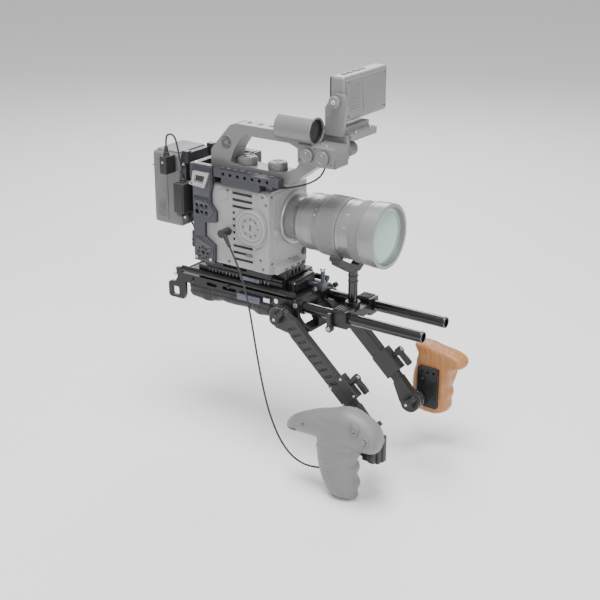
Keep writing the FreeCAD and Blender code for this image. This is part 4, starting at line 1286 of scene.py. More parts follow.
@dataclass
class RightGrip:
    """The moulded grip: a column with finger swells under a broad head with a thumb horn."""

    x: float = 238.0
    z: float = -121.6
    middle: float = -107.0
    voxel: float = 0.0016

    def build(self) -> None:
        """Makes the shell, its fingers' ridges and its small controls."""
        self.shell()
        self.controls()

    def shell(self) -> None:
        """Builds the column and the head, joins them and shapes the surface."""
        x, z, y = self.x, self.z, self.middle
        column = Shop.swelled("grip_column", Axis.Z, [(z - 70, (x - 3, y), (17, 13)),
                (z - 68, (x - 4, y), (20, 16)), (z - 60, (x - 7, y), (24, 19.5)),
                (z - 46, (x - 11, y), (27, 21)), (z - 30, (x - 14, y), (28.5, 22)),
                (z - 12, (x - 15, y), (30, 22.5)), (z + 6, (x - 12, y), (33, 22.5)),
                (z + 22, (x - 6, y), (34, 22)), (z + 30, (x - 4, y), (26, 17))], 24, 2)
        head = Shop.swelled("grip_head", Axis.X, [(x - 93, (y, z + 8), (5, 5)), (x - 90, (y, z + 9), (9, 9)),
                (x - 80, (y, z + 15), (14, 13.5)), (x - 62, (y, z + 20), (17.5, 16.5)),
                (x - 40, (y, z + 24.5), (20, 20)), (x - 16, (y, z + 29), (22, 25)),
                (x + 8, (y, z + 30), (23, 27)), (x + 30, (y, z + 26), (21.5, 25)),
                (x + 44, (y, z + 22), (17.5, 19.5)), (x + 49, (y, z + 21), (10, 11))], 24, 2)
        shell = Shop.joined([column, head], "grip_shell")
        Shop.apply(shell, "REMESH", mode="VOXEL", voxel_size=self.voxel, adaptivity=0.0)
        Shop.apply(shell, "SMOOTH", factor=0.5, iterations=16)
        for vertex in shell.data.vertices:
            vertex.co += vertex.normal * self.relief(vertex.co / MM, vertex.normal) * MM
        slot = Shop.block("thumb_slot", (x - 92, y - 22, z + 5.5), (x - 72, y - 8.5, z + 10.5), 2.2, 4)
        Shop.carve(shell, Shop.turn_about(slot, (x - 82, y, z + 8), Axis.Y, -12))
        notch = Shop.block("foot_notch", (x - 14, y - 30, z - 76), (x + 4, y + 30, z - 67), 1.5, 3)
        Shop.carve(shell, notch)
        Shop.choose(shell)
        bpy.ops.object.shade_smooth_by_angle(angle=math.radians(50))
        fit(shell, Body.RIGHT_GRIP, Paint.GRIP)
        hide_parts("right_grip")

    def relief(self, place: Vector, normal: Vector) -> float:
        """How far the surface stands proud at a place.

        Args:
            place: the place, in mm.
            normal: the surface's direction there.

        Returns:
            The height, in mm.
        """
        low = place.z - self.z
        ahead = place.x - self.x
        height = 0.0
        if low < 4 and normal.x > 0.15:
            height += 2.0 * normal.x * math.cos(math.tau * (low + 6) / 22)
        if -62 < low < -2 and normal.y < -0.2 and ahead < 4:
            bow = low + 0.014 * (ahead + 16) ** 2
            rib = max(0.0, math.cos(math.tau * bow / 6.2))
            height -= 0.8 * rib ** 2 * min(1.0, (-2 - low) / 8, (low + 62) / 8, max(0.0, (4 - ahead) / 8))
        if low > 12:
            height -= 1.5 * math.exp(-((low - 37) / 3.2) ** 2) * (normal.z < 0.6) * math.exp(-((ahead
                    + 22) / 24) ** 2)
            height -= 3.2 * max(0.0, normal.z) * math.exp(-((ahead + 70) / 9) ** 2)
            height += 2.6 * max(0.0, normal.z) * math.exp(-((ahead - 4) / 13) ** 2)
            height -= 1.6 * max(0.0, normal.z) * math.exp(-((ahead + 26) / 9) ** 2)
        height += 1.2 * math.exp(-((low - (6 + 0.26 * ahead)) / 1.8) ** 2) * (abs(normal.y) > 0.3)
        return height

    def controls(self) -> None:
        """A ringed button, a side dot, a thumb wheel and a ribbed front knob."""
        x, y, z = self.x, self.middle, self.z
        ring = Shop.ring("grip_button_ring", (x + 22, y - 19.5, z + 40), Axis.Y, 6.6, 4.6, 4.0, back=True)
        fit(ring, Body.RIGHT_GRIP, Paint.GRIP)
        dot = Shop.turned("grip_side_dot", (x - 58, y - 15.6, z + 23), Axis.Y,
                          [(2.6, 0), (2.6, 1.6), (2.2, 2.0), (1.6, 2.0), (1.4, 1.5)], 24, back=True)
        fit(dot, Body.RIGHT_GRIP, Paint.CAMERA_DARK)
        stick = Shop.turned("grip_stick", (x + 35, y - 16.4, z + 25), Axis.Y,
                [(7.4, 0), (7.4, 2.2), (6.8, 2.9), (5.4, 2.9), (5.0, 2.0), (3.4, 2.0), (3.2, 4.6),
                (2.4, 5.2)], 36, back=True)
        fit(stick, Body.RIGHT_GRIP, Paint.GRIP)
        knob = Shop.turned("grip_front_knob", (x + 21, y + 22, z - 14), Axis.X,
                           [(9, 0), (10.5, 1.2), (10.5, 8), (9.6, 9.5), (5, 10)], 40)
        ribs = Shop.block("knob_rib", (x + 23, y + 21.2, z - 4.2), (x + 28.5, y + 22.8, z - 3.0), 0.25, 1)
        ribs = Shop.ring_of(ribs, (x + 21, y + 22, z - 14), Axis.X, 20, "knob_ribs")
        fit(Shop.joined([knob, ribs], "grip_front_knob"), Body.RIGHT_GRIP, Paint.DARK)


@dataclass
class WoodGrip:
    """The carved wooden grip: a hooked top, a nose and three finger swells."""

    x: float = 238.0
    z: float = -121.6
    low: float = 78.3
    high: float = 110.3
    face: float = 61.3
    voxel: float = 0.002
    inner_share: float = 0.55
    round_power: float = 2.2
    round_pull: float = 0.42

    def build(self) -> None:
        """Builds the carved body and its metalwork."""
        self.body()
        self.metalwork()

    def body(self) -> None:
        """Casts the outline, remeshes it and rounds its sides."""
        x, z = self.x, self.z
        outline = [(-6, 62), (-11, 69), (-15, 77), (-4, 79), (10, 78.5), (30, 75.5), (48, 72), (60, 67),
                (65, 60), (62, 53), (54, 49), (46, 47), (43, 39), (46, 30), (41.5, 20), (45.5, 10), (41, 0),
                (43, -10), (38, -19), (26, -24.5), (8, -25), (-6, -23.5), (-14, -16), (-17, 2), (-17.5, 22),
                (-15, 38), (-10, 50)]
        body = Shop.cast("wood_body", "XZ", [(x + a, z + b) for a, b in outline], self.low, self.high, 0)
        Shop.apply(body, "REMESH", mode="VOXEL", voxel_size=self.voxel, adaptivity=0.0)
        Shop.apply(body, "SMOOTH", factor=0.5, iterations=6)
        middle = (self.low + self.high) / 2
        half = (self.high - self.low) / 2
        spine = [Vector((x + a, 0, z + b)) for a, b in ((0, 70), (20, 62), (44, 61), (14, 40), (14, 20),
                (14, 0), (12, -14))]
        for vertex in body.data.vertices:
            place = vertex.co / MM
            outer = (place.y - middle) / half
            reach = abs(outer) ** self.round_power
            if outer < 0:
                reach *= self.inner_share
            flat = Vector((place.x, 0, place.z))
            near = min(spine, key=lambda point: (flat - point).length)
            pull = Vector((near.x - place.x, 0, near.z - place.z))
            vertex.co += pull * self.round_pull * reach * MM
        Shop.apply(body, "SMOOTH", factor=0.5, iterations=14)
        Shop.apply(body, "SUBSURF", levels=1, render_levels=1)
        Shop.choose(body)
        bpy.ops.object.shade_smooth()
        fit(body, Body.LEFT_GRIP, Paint.WOOD)
        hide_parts("left_grip")

    def metalwork(self) -> None:
        """A toothed ring, two bands and the plate's screws."""
        x, z, face = self.x, self.z, self.face
        tooth = Shop.block("tooth", (x - 0.55, face + 6.8, z + 9.5), (x + 0.55, face + 8.6, z + 13.4), 0.2, 1)
        ring = Shop.ring_of(tooth, (x, face, z), Axis.Y, 36, "grip_teeth")
        fit(ring, Body.LEFT_GRIP, Paint.STEEL)
        for index, (start, outer, inner) in enumerate(((3.0, 14.4, 13.8), (8.2, 13.3, 10.9))):
            band = Shop.ring("grip_band_%d" % index, (x, face + start, z), Axis.Y, outer, inner, 2.6)
            fit(band, Body.LEFT_GRIP, Paint.STEEL)
        for index, (across, up) in enumerate(((22, 30), (22, 6), (6, 30))):
            screw = screw_head("plate_screw_%d" % index, (x + across, face + 13.2, z + up), Axis.Y, 2.6,
                    back=True)
            fit(screw, Body.LEFT_GRIP, Paint.FRAME)


SCREW_HEIGHT, SCREW_EDGE, SCREW_TOP = 0.6, 0.75, 0.86  # the height and the top edge, as shares
SOCKET_FLOOR, SOCKET_WIDTH = 0.35, 0.5  # where the socket starts and how wide it is, as shares


def screw_head(name: str, base: Point, axis: Axis, radius: float, back: bool = False) -> bpy.types.Object:
    """A socket screw's head with a six-sided socket.

    Args:
        name: the piece's name.
        base: where the head starts, in mm.
        axis: the axis it looks along.
        radius: the head's radius, in mm.
        back: whether it looks against the axis.

    Returns:
        The head.
    """
    tall = radius * SCREW_HEIGHT
    head = Shop.turned(name, base, axis, [(radius, 0), (radius, tall * SCREW_EDGE),
            (radius * SCREW_TOP, tall)], 28, back)
    way = axis.ahead * (-1 if back else 1)
    start = Vector(base) + way * tall * SOCKET_FLOOR
    socket = Shop.turned("socket", start, axis, [(radius * SOCKET_WIDTH, 0), (radius * SOCKET_WIDTH, tall)],
            6, back)
    return Shop.carve(head, socket)


# ------------------------------------------------------------------ lens


@dataclass
class Lens:
    """The zoom lens's ribbed rings, bands and marks."""

    height: float = 132.7

    def build(self) -> None:
        """Adds ribs to both rings, raised bands along the barrel and the front's details."""
        self.ribs("zoom_ribs", "zoom_ring", 40.3, 144.0, 166.0, 72)
        self.ribs("focus_ribs", "focus_ring", 40.7, 191.2, 204.8, 96)
        for name, radius, start, wide in (("band_rear", 38.0, 116, 1.2), ("band_second", 38.0, 128, 1.0),
                                          ("band_mid", 39.6, 176, 1.4), ("band_front", 42.4, 209, 1.0)):
            band = Shop.turned(name, (start, 0, self.height), Axis.X,
                    [(radius - 0.5, 0), (radius + 0.35, 0.2), (radius + 0.35, wide),
                    (radius - 0.5, wide + 0.2)], 96)
            fit(band, Body.CAMERA, Paint.LENS)
        rim = Shop.turned("inner_rim", (221.4, 0, self.height), Axis.X, [(38.4, 0), (38.4, 6.4), (37.2, 6.4),
                (36.2, 4.2), (35.6, 1.0), (34.8, 0.2), (34.8, 0)], 96)
        fit(rim, Body.CAMERA, Paint.LENS_RING)
        dome = Shop.turned("front_element", (222.6, 0, self.height), Axis.X,
                           [(34.6, 0), (34.4, 1.2), (31, 2.1), (25, 3.0), (18, 3.7), (10, 4.1), (4, 4.2)], 96)
        fit(dome, Body.CAMERA, Paint.GLASS)
        for index, turn in enumerate((-58, -46)):
            mark = Shop.block("index_mark_%d" % index, (134, -0.6, self.height + 38.6),
                    (137.5, 0.6, self.height + 39.6), 0.2, 1)
            fit(Shop.turn_about(mark, (134, 0, self.height), Axis.X, -turn), Body.CAMERA, Paint.PALE)
        for index, turn in enumerate(range(-70, 60, 26)):
            tick = Shop.block("scale_tick_%d" % index, (181, -0.3, self.height + 39.3),
                    (185, 0.3, self.height + 39.8), 0.1, 1)
            fit(Shop.turn_about(tick, (181, 0, self.height), Axis.X, -turn), Body.CAMERA, Paint.PALE)
        switch = Shop.block("lens_switch", (116.5, 33, 143), (127.5, 38.6, 150), 0.8, 2)
        fit(switch, Body.CAMERA, Paint.CAMERA_DARK)

    def ribs(self, name: str, ring: str, radius: float, start: float, end: float, count: int) -> None:
        """Raised ribs round a ring, which turn with it."""
        width = math.tau * radius / count * 0.30
        rib = Shop.block(name, (start, -width, self.height + radius - 0.4),
                (end, width, self.height + radius + 0.55), 0.3, 1)
        row = Shop.ring_of(rib, (start, 0, self.height), Axis.X, count, name)
        fit(row, ring, Paint.LENS_RING)


# ------------------------------------------------------------------ camera


@dataclass
class Camera:
    """The camera's disc, vents, screws, doors, back panel and front controls."""

    face: float = -57.0
    left: float = 50.0
    rear: float = -46.0
    disc_height: float = 127
    vent_low: float = 76
    vent_pitch: float = 9.2
    vent_count: int = 11

    def build(self) -> None:
        """Adds the details of each side."""
        self.disc()
        self.vents()
        self.front()
        self.top()
        self.left_side()
        self.back()

    def disc(self) -> None:
        """The round cover with stepped rings, a hub, and dark dots that paint the shade of its small holes.
        """
        x, z = 51, self.disc_height
        cover = Shop.turned("side_disc", (x, self.face - 2, z), Axis.Y, [(24, 0), (24, 1.6), (23.2, 2.4),
                (20.6, 2.4), (20.2, 1.4), (18.6, 1.4), (18.2, 2.6), (15.8, 2.6), (15.2, 1.0), (9.0, 1.0),
                (8.4, 2.4), (5.4, 2.4), (5.0, 1.6), (2, 1.6)], 64, back=True)
        fit(cover, Body.CAMERA, Paint.CAMERA)
        # Dark dots stand in for the small holes: painted shade, not cut holes.
        dot = Shop.turned("disc_dot", (x, self.face - 2.9, z - 12), Axis.Y,
                [(1.1, 0), (1.1, 0.9), (0.8, 1.1)], 16, back=True)
        dots = Shop.ring_of(dot, (x, 0, z), Axis.Y, 8, "disc_hole_shades")
        fit(dots, Body.CAMERA, Paint.CAMERA_DARK)
        bar = Shop.block("disc_key", (x - 1.0, self.face - 4.6, z - 4), (x + 1.0, self.face - 3.4, z + 4),
                0.3, 1)
        fit(bar, Body.CAMERA, Paint.CAMERA_DARK)
        oval = Shop.block("oval_button", (40, self.face - 1.2, 84.6), (52, self.face + 0.4, 89.0), 1.1, 4)
        fit(oval, Body.CAMERA, Paint.CAMERA_DARK)
        for index, (across, up) in enumerate(((70, 172), (70, 72), (12, 172), (12, 72), (66, 84),
                (75.5, 162))):
            proud = 0.9 if across > 60 else -0.3
            screw = screw_head("shell_screw_%d" % index, (across, self.face - proud, up), Axis.Y, 1.9,
                    back=True)
            fit(screw, Body.CAMERA, Paint.CAMERA_DARK)

    def vents(self) -> None:
        """Dark fins inside each vent slot, and a frame line round them."""
        rows = [self.vent_low + self.vent_pitch * index for index in range(self.vent_count)]
        vents = [(z, 23 if abs(z + 2 - self.disc_height) < 24 else 52) for z in rows]
        fins = [Shop.block("vent_fin", (18.2, self.face + 1.8, z - 0.5), (far + 0.6, self.face + 2.9,
                z + 4.5), 0.2, 1) for z, far in vents]
        fit(Shop.joined(fins, "vent_floor"), Body.CAMERA, Paint.DARK)
        lips = [Shop.block("vent_lip", (17.6, self.face - 0.7, z + 4.1), (far + 1, self.face + 0.6, z + 5.3),
                0.35, 2) for z, far in vents]
        fit(Shop.joined(lips, "vent_lips"), Body.CAMERA, Paint.CAMERA)
        latch = Shop.block("card_latch", (-4, self.face - 1.0, 158), (11, self.face + 0.4, 172), 1.4, 3)
        fit(Shop.turn_about(latch, (3, 0, 165), Axis.Y, -18), Body.CAMERA, Paint.CAMERA)
        pillar = Shop.cast("side_pillar", "XZ", [(56, 66.5), (79.5, 66.5), (79.5, 169), (73, 177), (62, 177),
                (62, 157), (72, 150), (77, 140), (77.5, 114), (70, 103), (58, 98), (56, 92)], self.face - 1.3,
                self.face + 0.5, 1.2, 4)
        fit(pillar, Body.CAMERA, Paint.CAMERA)

    def front(self) -> None:
        """The mount's ring, its release button and the panel round it."""
        flange = Shop.turned("mount_flange", (82.4, 0, 132.7), Axis.X,
                             [(36.4, 0), (36.4, 1.6), (35.4, 2.4), (33.0, 2.4), (32.4, 1.2), (31, 1.2)], 80)
        fit(flange, Body.CAMERA, Paint.SILVER)
        release = Shop.turned("release_button", (80, -43.5, 120), Axis.X,
                              [(6.2, 0), (6.2, 1.6), (5.6, 2.2), (4.4, 2.2), (4.2, 3.6), (3.6, 4.2)], 36)
        fit(release, Body.CAMERA, Paint.CAMERA)
        dial = Shop.turned("front_button", (79.8, 22, 78), Axis.X, [(5.2, 0), (5.2, 1.2), (4.6, 1.8),
                (3.6, 1.8), (3.4, 2.6)], 36)
        fit(dial, Body.CAMERA, Paint.CAMERA_DARK)
        panel = Shop.cast("front_panel", "YZ", [(-50, 84), (-50, 172), (-42, 175), (8, 175), (8, 171),
                (-30, 171), (-41, 160), (-45, 148), (-45, 106), (-40, 94), (-30, 88), (-30, 84)], 79.6, 81,
                0.4, 2)
        fit(panel, Body.CAMERA, Paint.CAMERA)
        for index, (y, z) in enumerate(((-52, 172), (-52, 80), (22, 172), (-12, 76))):
            screw = screw_head("front_screw_%d" % index, (79.8, y, z), Axis.X, 1.8)
            fit(screw, Body.CAMERA, Paint.CAMERA_DARK)
        # Dark blocks painted where the chin's slots are, as the slots' shade.
        for index, y in enumerate((-34, -20, -6)):
            slot = Shop.block("chin_slot_shade_%d" % index, (87, y, 66.5), (88.4, y + 8, 69.5), 0.4, 2)
            fit(slot, Body.CAMERA, Paint.CAMERA_DARK)

    def top(self) -> None:
        """Screws and a grille on the top, right of the handle's foot."""
        for index, (x, y) in enumerate(((72, -50), (72, 30), (40, 30), (40, -52))):
            screw = screw_head("top_screw_%d" % index, (x, y, 178.8), Axis.Z, 2.2)
            fit(screw, Body.CAMERA, Paint.CAMERA_DARK)
        grille = Shop.block("top_grille", (10, 18, 178.4), (13, 40, 180.2), 0.4, 2)
        fit(Shop.copies(grille, [(5.2 * step, 0, 0) for step in range(1, 10)], "top_grille"), Body.CAMERA,
            Paint.CAMERA_DARK)

    def left_side(self) -> None:
        """The far side: a folding screen door, port covers and keys."""
        y = self.left
        door = Shop.block("side_door", (-38, y - 1, 96), (34, y + 2.4, 160), 2.0, 4)
        fit(door, Body.CAMERA, Paint.CAMERA)
        inner = Shop.block("side_door_panel", (-34, y + 1.6, 100), (30, y + 3.0, 156), 1.0, 3)
        fit(inner, Body.CAMERA, Paint.CAMERA_DARK)
        for index, (low, high) in enumerate((((-38, 68), (-10, 92)), ((-6, 68), (22, 92)),
                ((26, 68), (48, 92)))):
            cover = Shop.block("port_cover_%d" % index, (low[0], y - 0.6, low[1]),
                    (high[0], y + 1.6, high[1]), 1.2, 3)
            tab = Shop.block("port_tab_%d" % index, (low[0] + 3, y + 1.2, low[1] + 2),
                    (low[0] + 8, y + 2.4, low[1] + 5), 0.5, 2)
            fit(Shop.joined([cover, tab], "port_cover_%d" % index), Body.CAMERA, Paint.CAMERA_DARK)
        key = Shop.turned("side_key", (42, y, 108), Axis.Y, [(3.4, 0), (3.4, 1.2), (2.9, 1.7), (2.2, 1.5)],
                28)
        fit(Shop.copies(key, [(0, 0, 12), (0, 0, 24), (0, 0, 36)], "side_keys"), Body.CAMERA,
                Paint.CAMERA_DARK)

    def back(self) -> None:
        """The back panel's connectors, screws and grille beside the battery."""
        x = self.rear
        for index, (y, z) in enumerate(((38, 84), (38, 104), (38, 124), (38, 144))):
            port = Shop.turned("rear_port_%d" % index, (x + 0.2, y, z), Axis.X,
                               [(7, 0), (7, 1.2), (6.2, 2.0), (4.8, 2.0), (4.4, 0.8)], 36, back=True)
            fit(port, Body.CAMERA, Paint.CAMERA_DARK)
        for index, (y, z) in enumerate(((-50, 70), (44, 70), (44, 172))):
            screw = screw_head("rear_screw_%d" % index, (x + 0.3, y, z), Axis.X, 2.0, back=True)
            fit(screw, Body.CAMERA, Paint.CAMERA_DARK)
        grille = Shop.block("rear_grille", (x - 1.0, -20, 82), (x + 0.6, 20, 84.4), 0.4, 2)
        fit(Shop.copies(grille, [(0, 0, 4.6 * step) for step in range(1, 6)], "rear_grille"), Body.CAMERA,
            Paint.CAMERA_DARK)


# ------------------------------------------------------------------ battery and power


@dataclass
class Battery:
    """The battery's lid, panels, charge lights and finger ridges, and the power leads' boxes."""

    def build(self) -> None:
        """Adds the details of the pack, its plate and its leads."""
        lid = Shop.block("battery_lid", (-131, -33, 199.5), (-90, 23, 203.5), 1.6, 4)
        fit(lid, Body.CAMERA, Paint.BATTERY)
        for name, low, high, paint in (
                ("battery_side_panel", (-131, -38.9, 103), (-109, -37.6, 188), Paint.BATTERY),
                ("battery_far_panel", (-131, 27.6, 103), (-91, 28.9, 188), Paint.BATTERY),
                ("battery_rear_panel", (-137.2, -31, 106), (-135.4, 21, 176), Paint.BATTERY),
                ("battery_light_strip", (-136.9, -22, 184), (-135.4, 12, 190), Paint.DARK)):
            fit(Shop.block(name, low, high, 1.1 if "strip" not in name else 0.6, 3), Body.CAMERA, paint)
        light = Shop.turned("charge_light", (-136.6, -16, 187), Axis.X, [(1.3, 0), (1.3, 0.5), (0.9, 0.9)],
                16, back=True)
        fit(Shop.copies(light, [(0, 5.5 * step, 0) for step in range(1, 5)], "charge_lights"), Body.CAMERA,
            Paint.PALE)
        ridge = Shop.block("battery_ridge", (-127, -39.6, 108), (-113, -38.4, 109.6), 0.4, 2)
        fit(Shop.copies(ridge, [(0, 0, 3.6 * step) for step in range(1, 7)], "battery_ridges"), Body.CAMERA,
            Paint.BATTERY)
        # A dark band round the pack paints the shade in its seam.
        seam = Shop.block("battery_seam_shade", (-136.35, -38.35, 179.6), (-84.8, 28.35, 180.5), 0.3, 1)
        fit(seam, Body.CAMERA, Paint.CAMERA_DARK)
        self.plate()
        self.leads()

    def plate(self) -> None:
        """The plate's release lever, screws and edge ribs."""
        lever = Shop.cast("plate_release", "XZ", [(-83, 172), (-72, 172), (-70, 178), (-72, 196), (-79, 199),
                (-83, 196)], 23.5, 29.5, 1.0, 3)
        fit(lever, Body.CAMERA, Paint.DARK)
        for index, z in enumerate((112, 150, 188)):
            screw = screw_head("plate_side_screw_%d" % index, (-81, -35.8, z), Axis.Y, 2.0, back=True)
            fit(screw, Body.CAMERA, Paint.STEEL)
        rib = Shop.block("plate_rib", (-77.6, -31.4, 116), (-75.8, -29.6, 124), 0.4, 2)
        fit(Shop.copies(rib, [(4.4 * step, 0, 0) for step in range(1, 6)], "plate_ribs"), Body.CAMERA,
            Paint.SLATE)

    def leads(self) -> None:
        """The plug's screw and ring, and the converter's lid and tapered foot."""
        screw = screw_head("plug_screw", (-99, -58.8, 193), Axis.Y, 1.7, back=True)
        fit(screw, Body.CAMERA, Paint.STEEL)
        collar = Shop.turned("plug_collar", (-99.2, -50, 200.6), Axis.Z, [(4.6, 0), (4.6, 1.6), (3.9, 2.2),
                (3.9, 3.6), (4.3, 4.2), (4.1, 5.4), (3.2, 5.9)], 28)
        fit(collar, Body.CAMERA, Paint.DARK)
        foot = Shop.cast("converter_foot", "YZ", [(-60, 127), (-40, 127), (-43, 119.5), (-57, 119.5)], -78,
                -68.6, 0.8, 3)
        fit(foot, Body.CAMERA, Paint.DARK)
        lid = Shop.block("converter_lid", (-77.8, -63.1, 129), (-63.2, -61.6, 165), 0.9, 3)
        fit(lid, Body.CAMERA, Paint.DARK)
        ring = Shop.turned("converter_collar", (-71.5, -50, 167.6), Axis.Z,
                           [(4.6, 0), (4.6, 1.8), (3.8, 2.4), (3.8, 3.8), (4.2, 4.4), (3.2, 5.6)], 28)
        fit(ring, Body.CAMERA, Paint.DARK)
        nut = Shop.turned("outlet_nut", (-55, -47, 80), Axis.Z, [(5.0, 0), (5.0, 3), (4.4, 3.6), (4.4, 6),
                (5.0, 6.6), (5.0, 9)], 8)
        fit(nut, Body.CAMERA, Paint.DARK)


# ------------------------------------------------------------------ cage


@dataclass
class Cage:
    """The cage's threaded inserts, bevelled strips, screws, and a dark plate painted as shade in its clip's
    cut.
    """

    outside: float = -62.4
    top: float = 200.0

    def build(self) -> None:
        """Adds raised panels with the side plate's holes through them, and screws."""
        holes = [(x, z, 3.5 if (x, z) == (-37, 136) else 2.4) for x in (-37, -29, -21) for z in (145, 136)]
        rose = [(-28.6, 78.4, 2.6)]
        for turn in range(8):
            angle = math.tau * turn / 8
            rose.append((-28.6 + 8 * math.cos(angle), 78.4 + 8 * math.sin(angle), 1.5))
        panels = (("hole_panel", [(-42.5, 130), (-16, 130), (-7.5, 138.5), (-15.5, 150), (-15.5, 156),
                (-42.5, 156)], holes), ("rosette_panel", [(-42.5, 67), (-11.8, 67), (-10.2, 89.6), (-27, 100),
                (-42.5, 100)], rose), ("clip_panel", [(-42.5, 199), (-42.5, 159), (-15.5, 159), (-12, 176),
                (-12, 199)], ()),)
        for name, outline, bores in panels:
            panel = Shop.cast(name, "XZ", outline, self.outside - 1.2, self.outside + 0.3, 0.8, 2)
            for x, z, radius in bores:
                tool = Shop.turned("bore", (x, self.outside - 3, z), Axis.Y, [(radius, 0), (radius, 5)], 24)
                Shop.carve(panel, tool)
            fit(panel, Body.CAMERA, Paint.SLATE)
        for index, (x, z) in enumerate(((-39.5, 70.5), (-15, 70.5), (-38, 153), (-20, 153))):
            screw = screw_head("cage_screw_%d" % index, (x, self.outside - 1.0, z), Axis.Y, 2.1, back=True)
            fit(screw, Body.CAMERA, Paint.STEEL if z < 100 else Paint.SLATE)
        self.arms()
        self.clip()

    def arms(self) -> None:
        """Bevelled strips with holes along the top of both arms, screws and a cold shoe's lip."""
        for name, y in (("right", -54.5), ("left", -8.5)):
            strip = Shop.block(name + "_arm_rail", (0, y - 4.4, self.top - 0.4),
                    (92, y + 4.4, self.top + 0.9), 0.5, 2)
            for x in range(2, 92, 12):
                hole = Shop.turned("hole", (x, y, self.top - 1), Axis.Z, [(2.2, 0), (2.2, 4)], 20)
                Shop.carve(strip, hole)
            fit(strip, Body.CAMERA, Paint.SLATE)
        for index, (x, y) in enumerate(((-46, -50), (-46, 40), (-16, 40), (-46, 0), (-16, 0))):
            screw = screw_head("cage_top_screw_%d" % index, (x, y, self.top - 0.2), Axis.Z, 2.6)
            fit(screw, Body.CAMERA, Paint.STEEL)
        shoe = Shop.block("cold_shoe_lip", (-30, 14, self.top - 0.3), (-12, 34, self.top + 1.6), 0.6, 2)
        gap = Shop.block("shoe_gap", (-34, 18, self.top + 0.2), (-14, 30, self.top + 4), 0.2, 1)
        fit(Shop.carve(shoe, gap), Body.CAMERA, Paint.SLATE)

    def clip(self) -> None:
        """The silver clip's screw, and a dark plate painted as the shade in its cut."""
        screw = screw_head("clip_screw", (-42.5, self.outside - 3.9, 175.4), Axis.Y, 1.5, back=True)
        fit(screw, Body.CAMERA, Paint.CAMERA_DARK)
        # The dark plate fills the clip's cut as painted shade.
        plate = Shop.cast("clip_cut_shade", "XZ", [(-35.4, 186.8), (-20.6, 186.8), (-24.6, 178.6), (-37.6, 179.6)],
                          self.outside - 1.9, self.outside - 1.2, 0.25, 1)
        fit(plate, Body.CAMERA, Paint.DARK)


# ------------------------------------------------------------------ handle


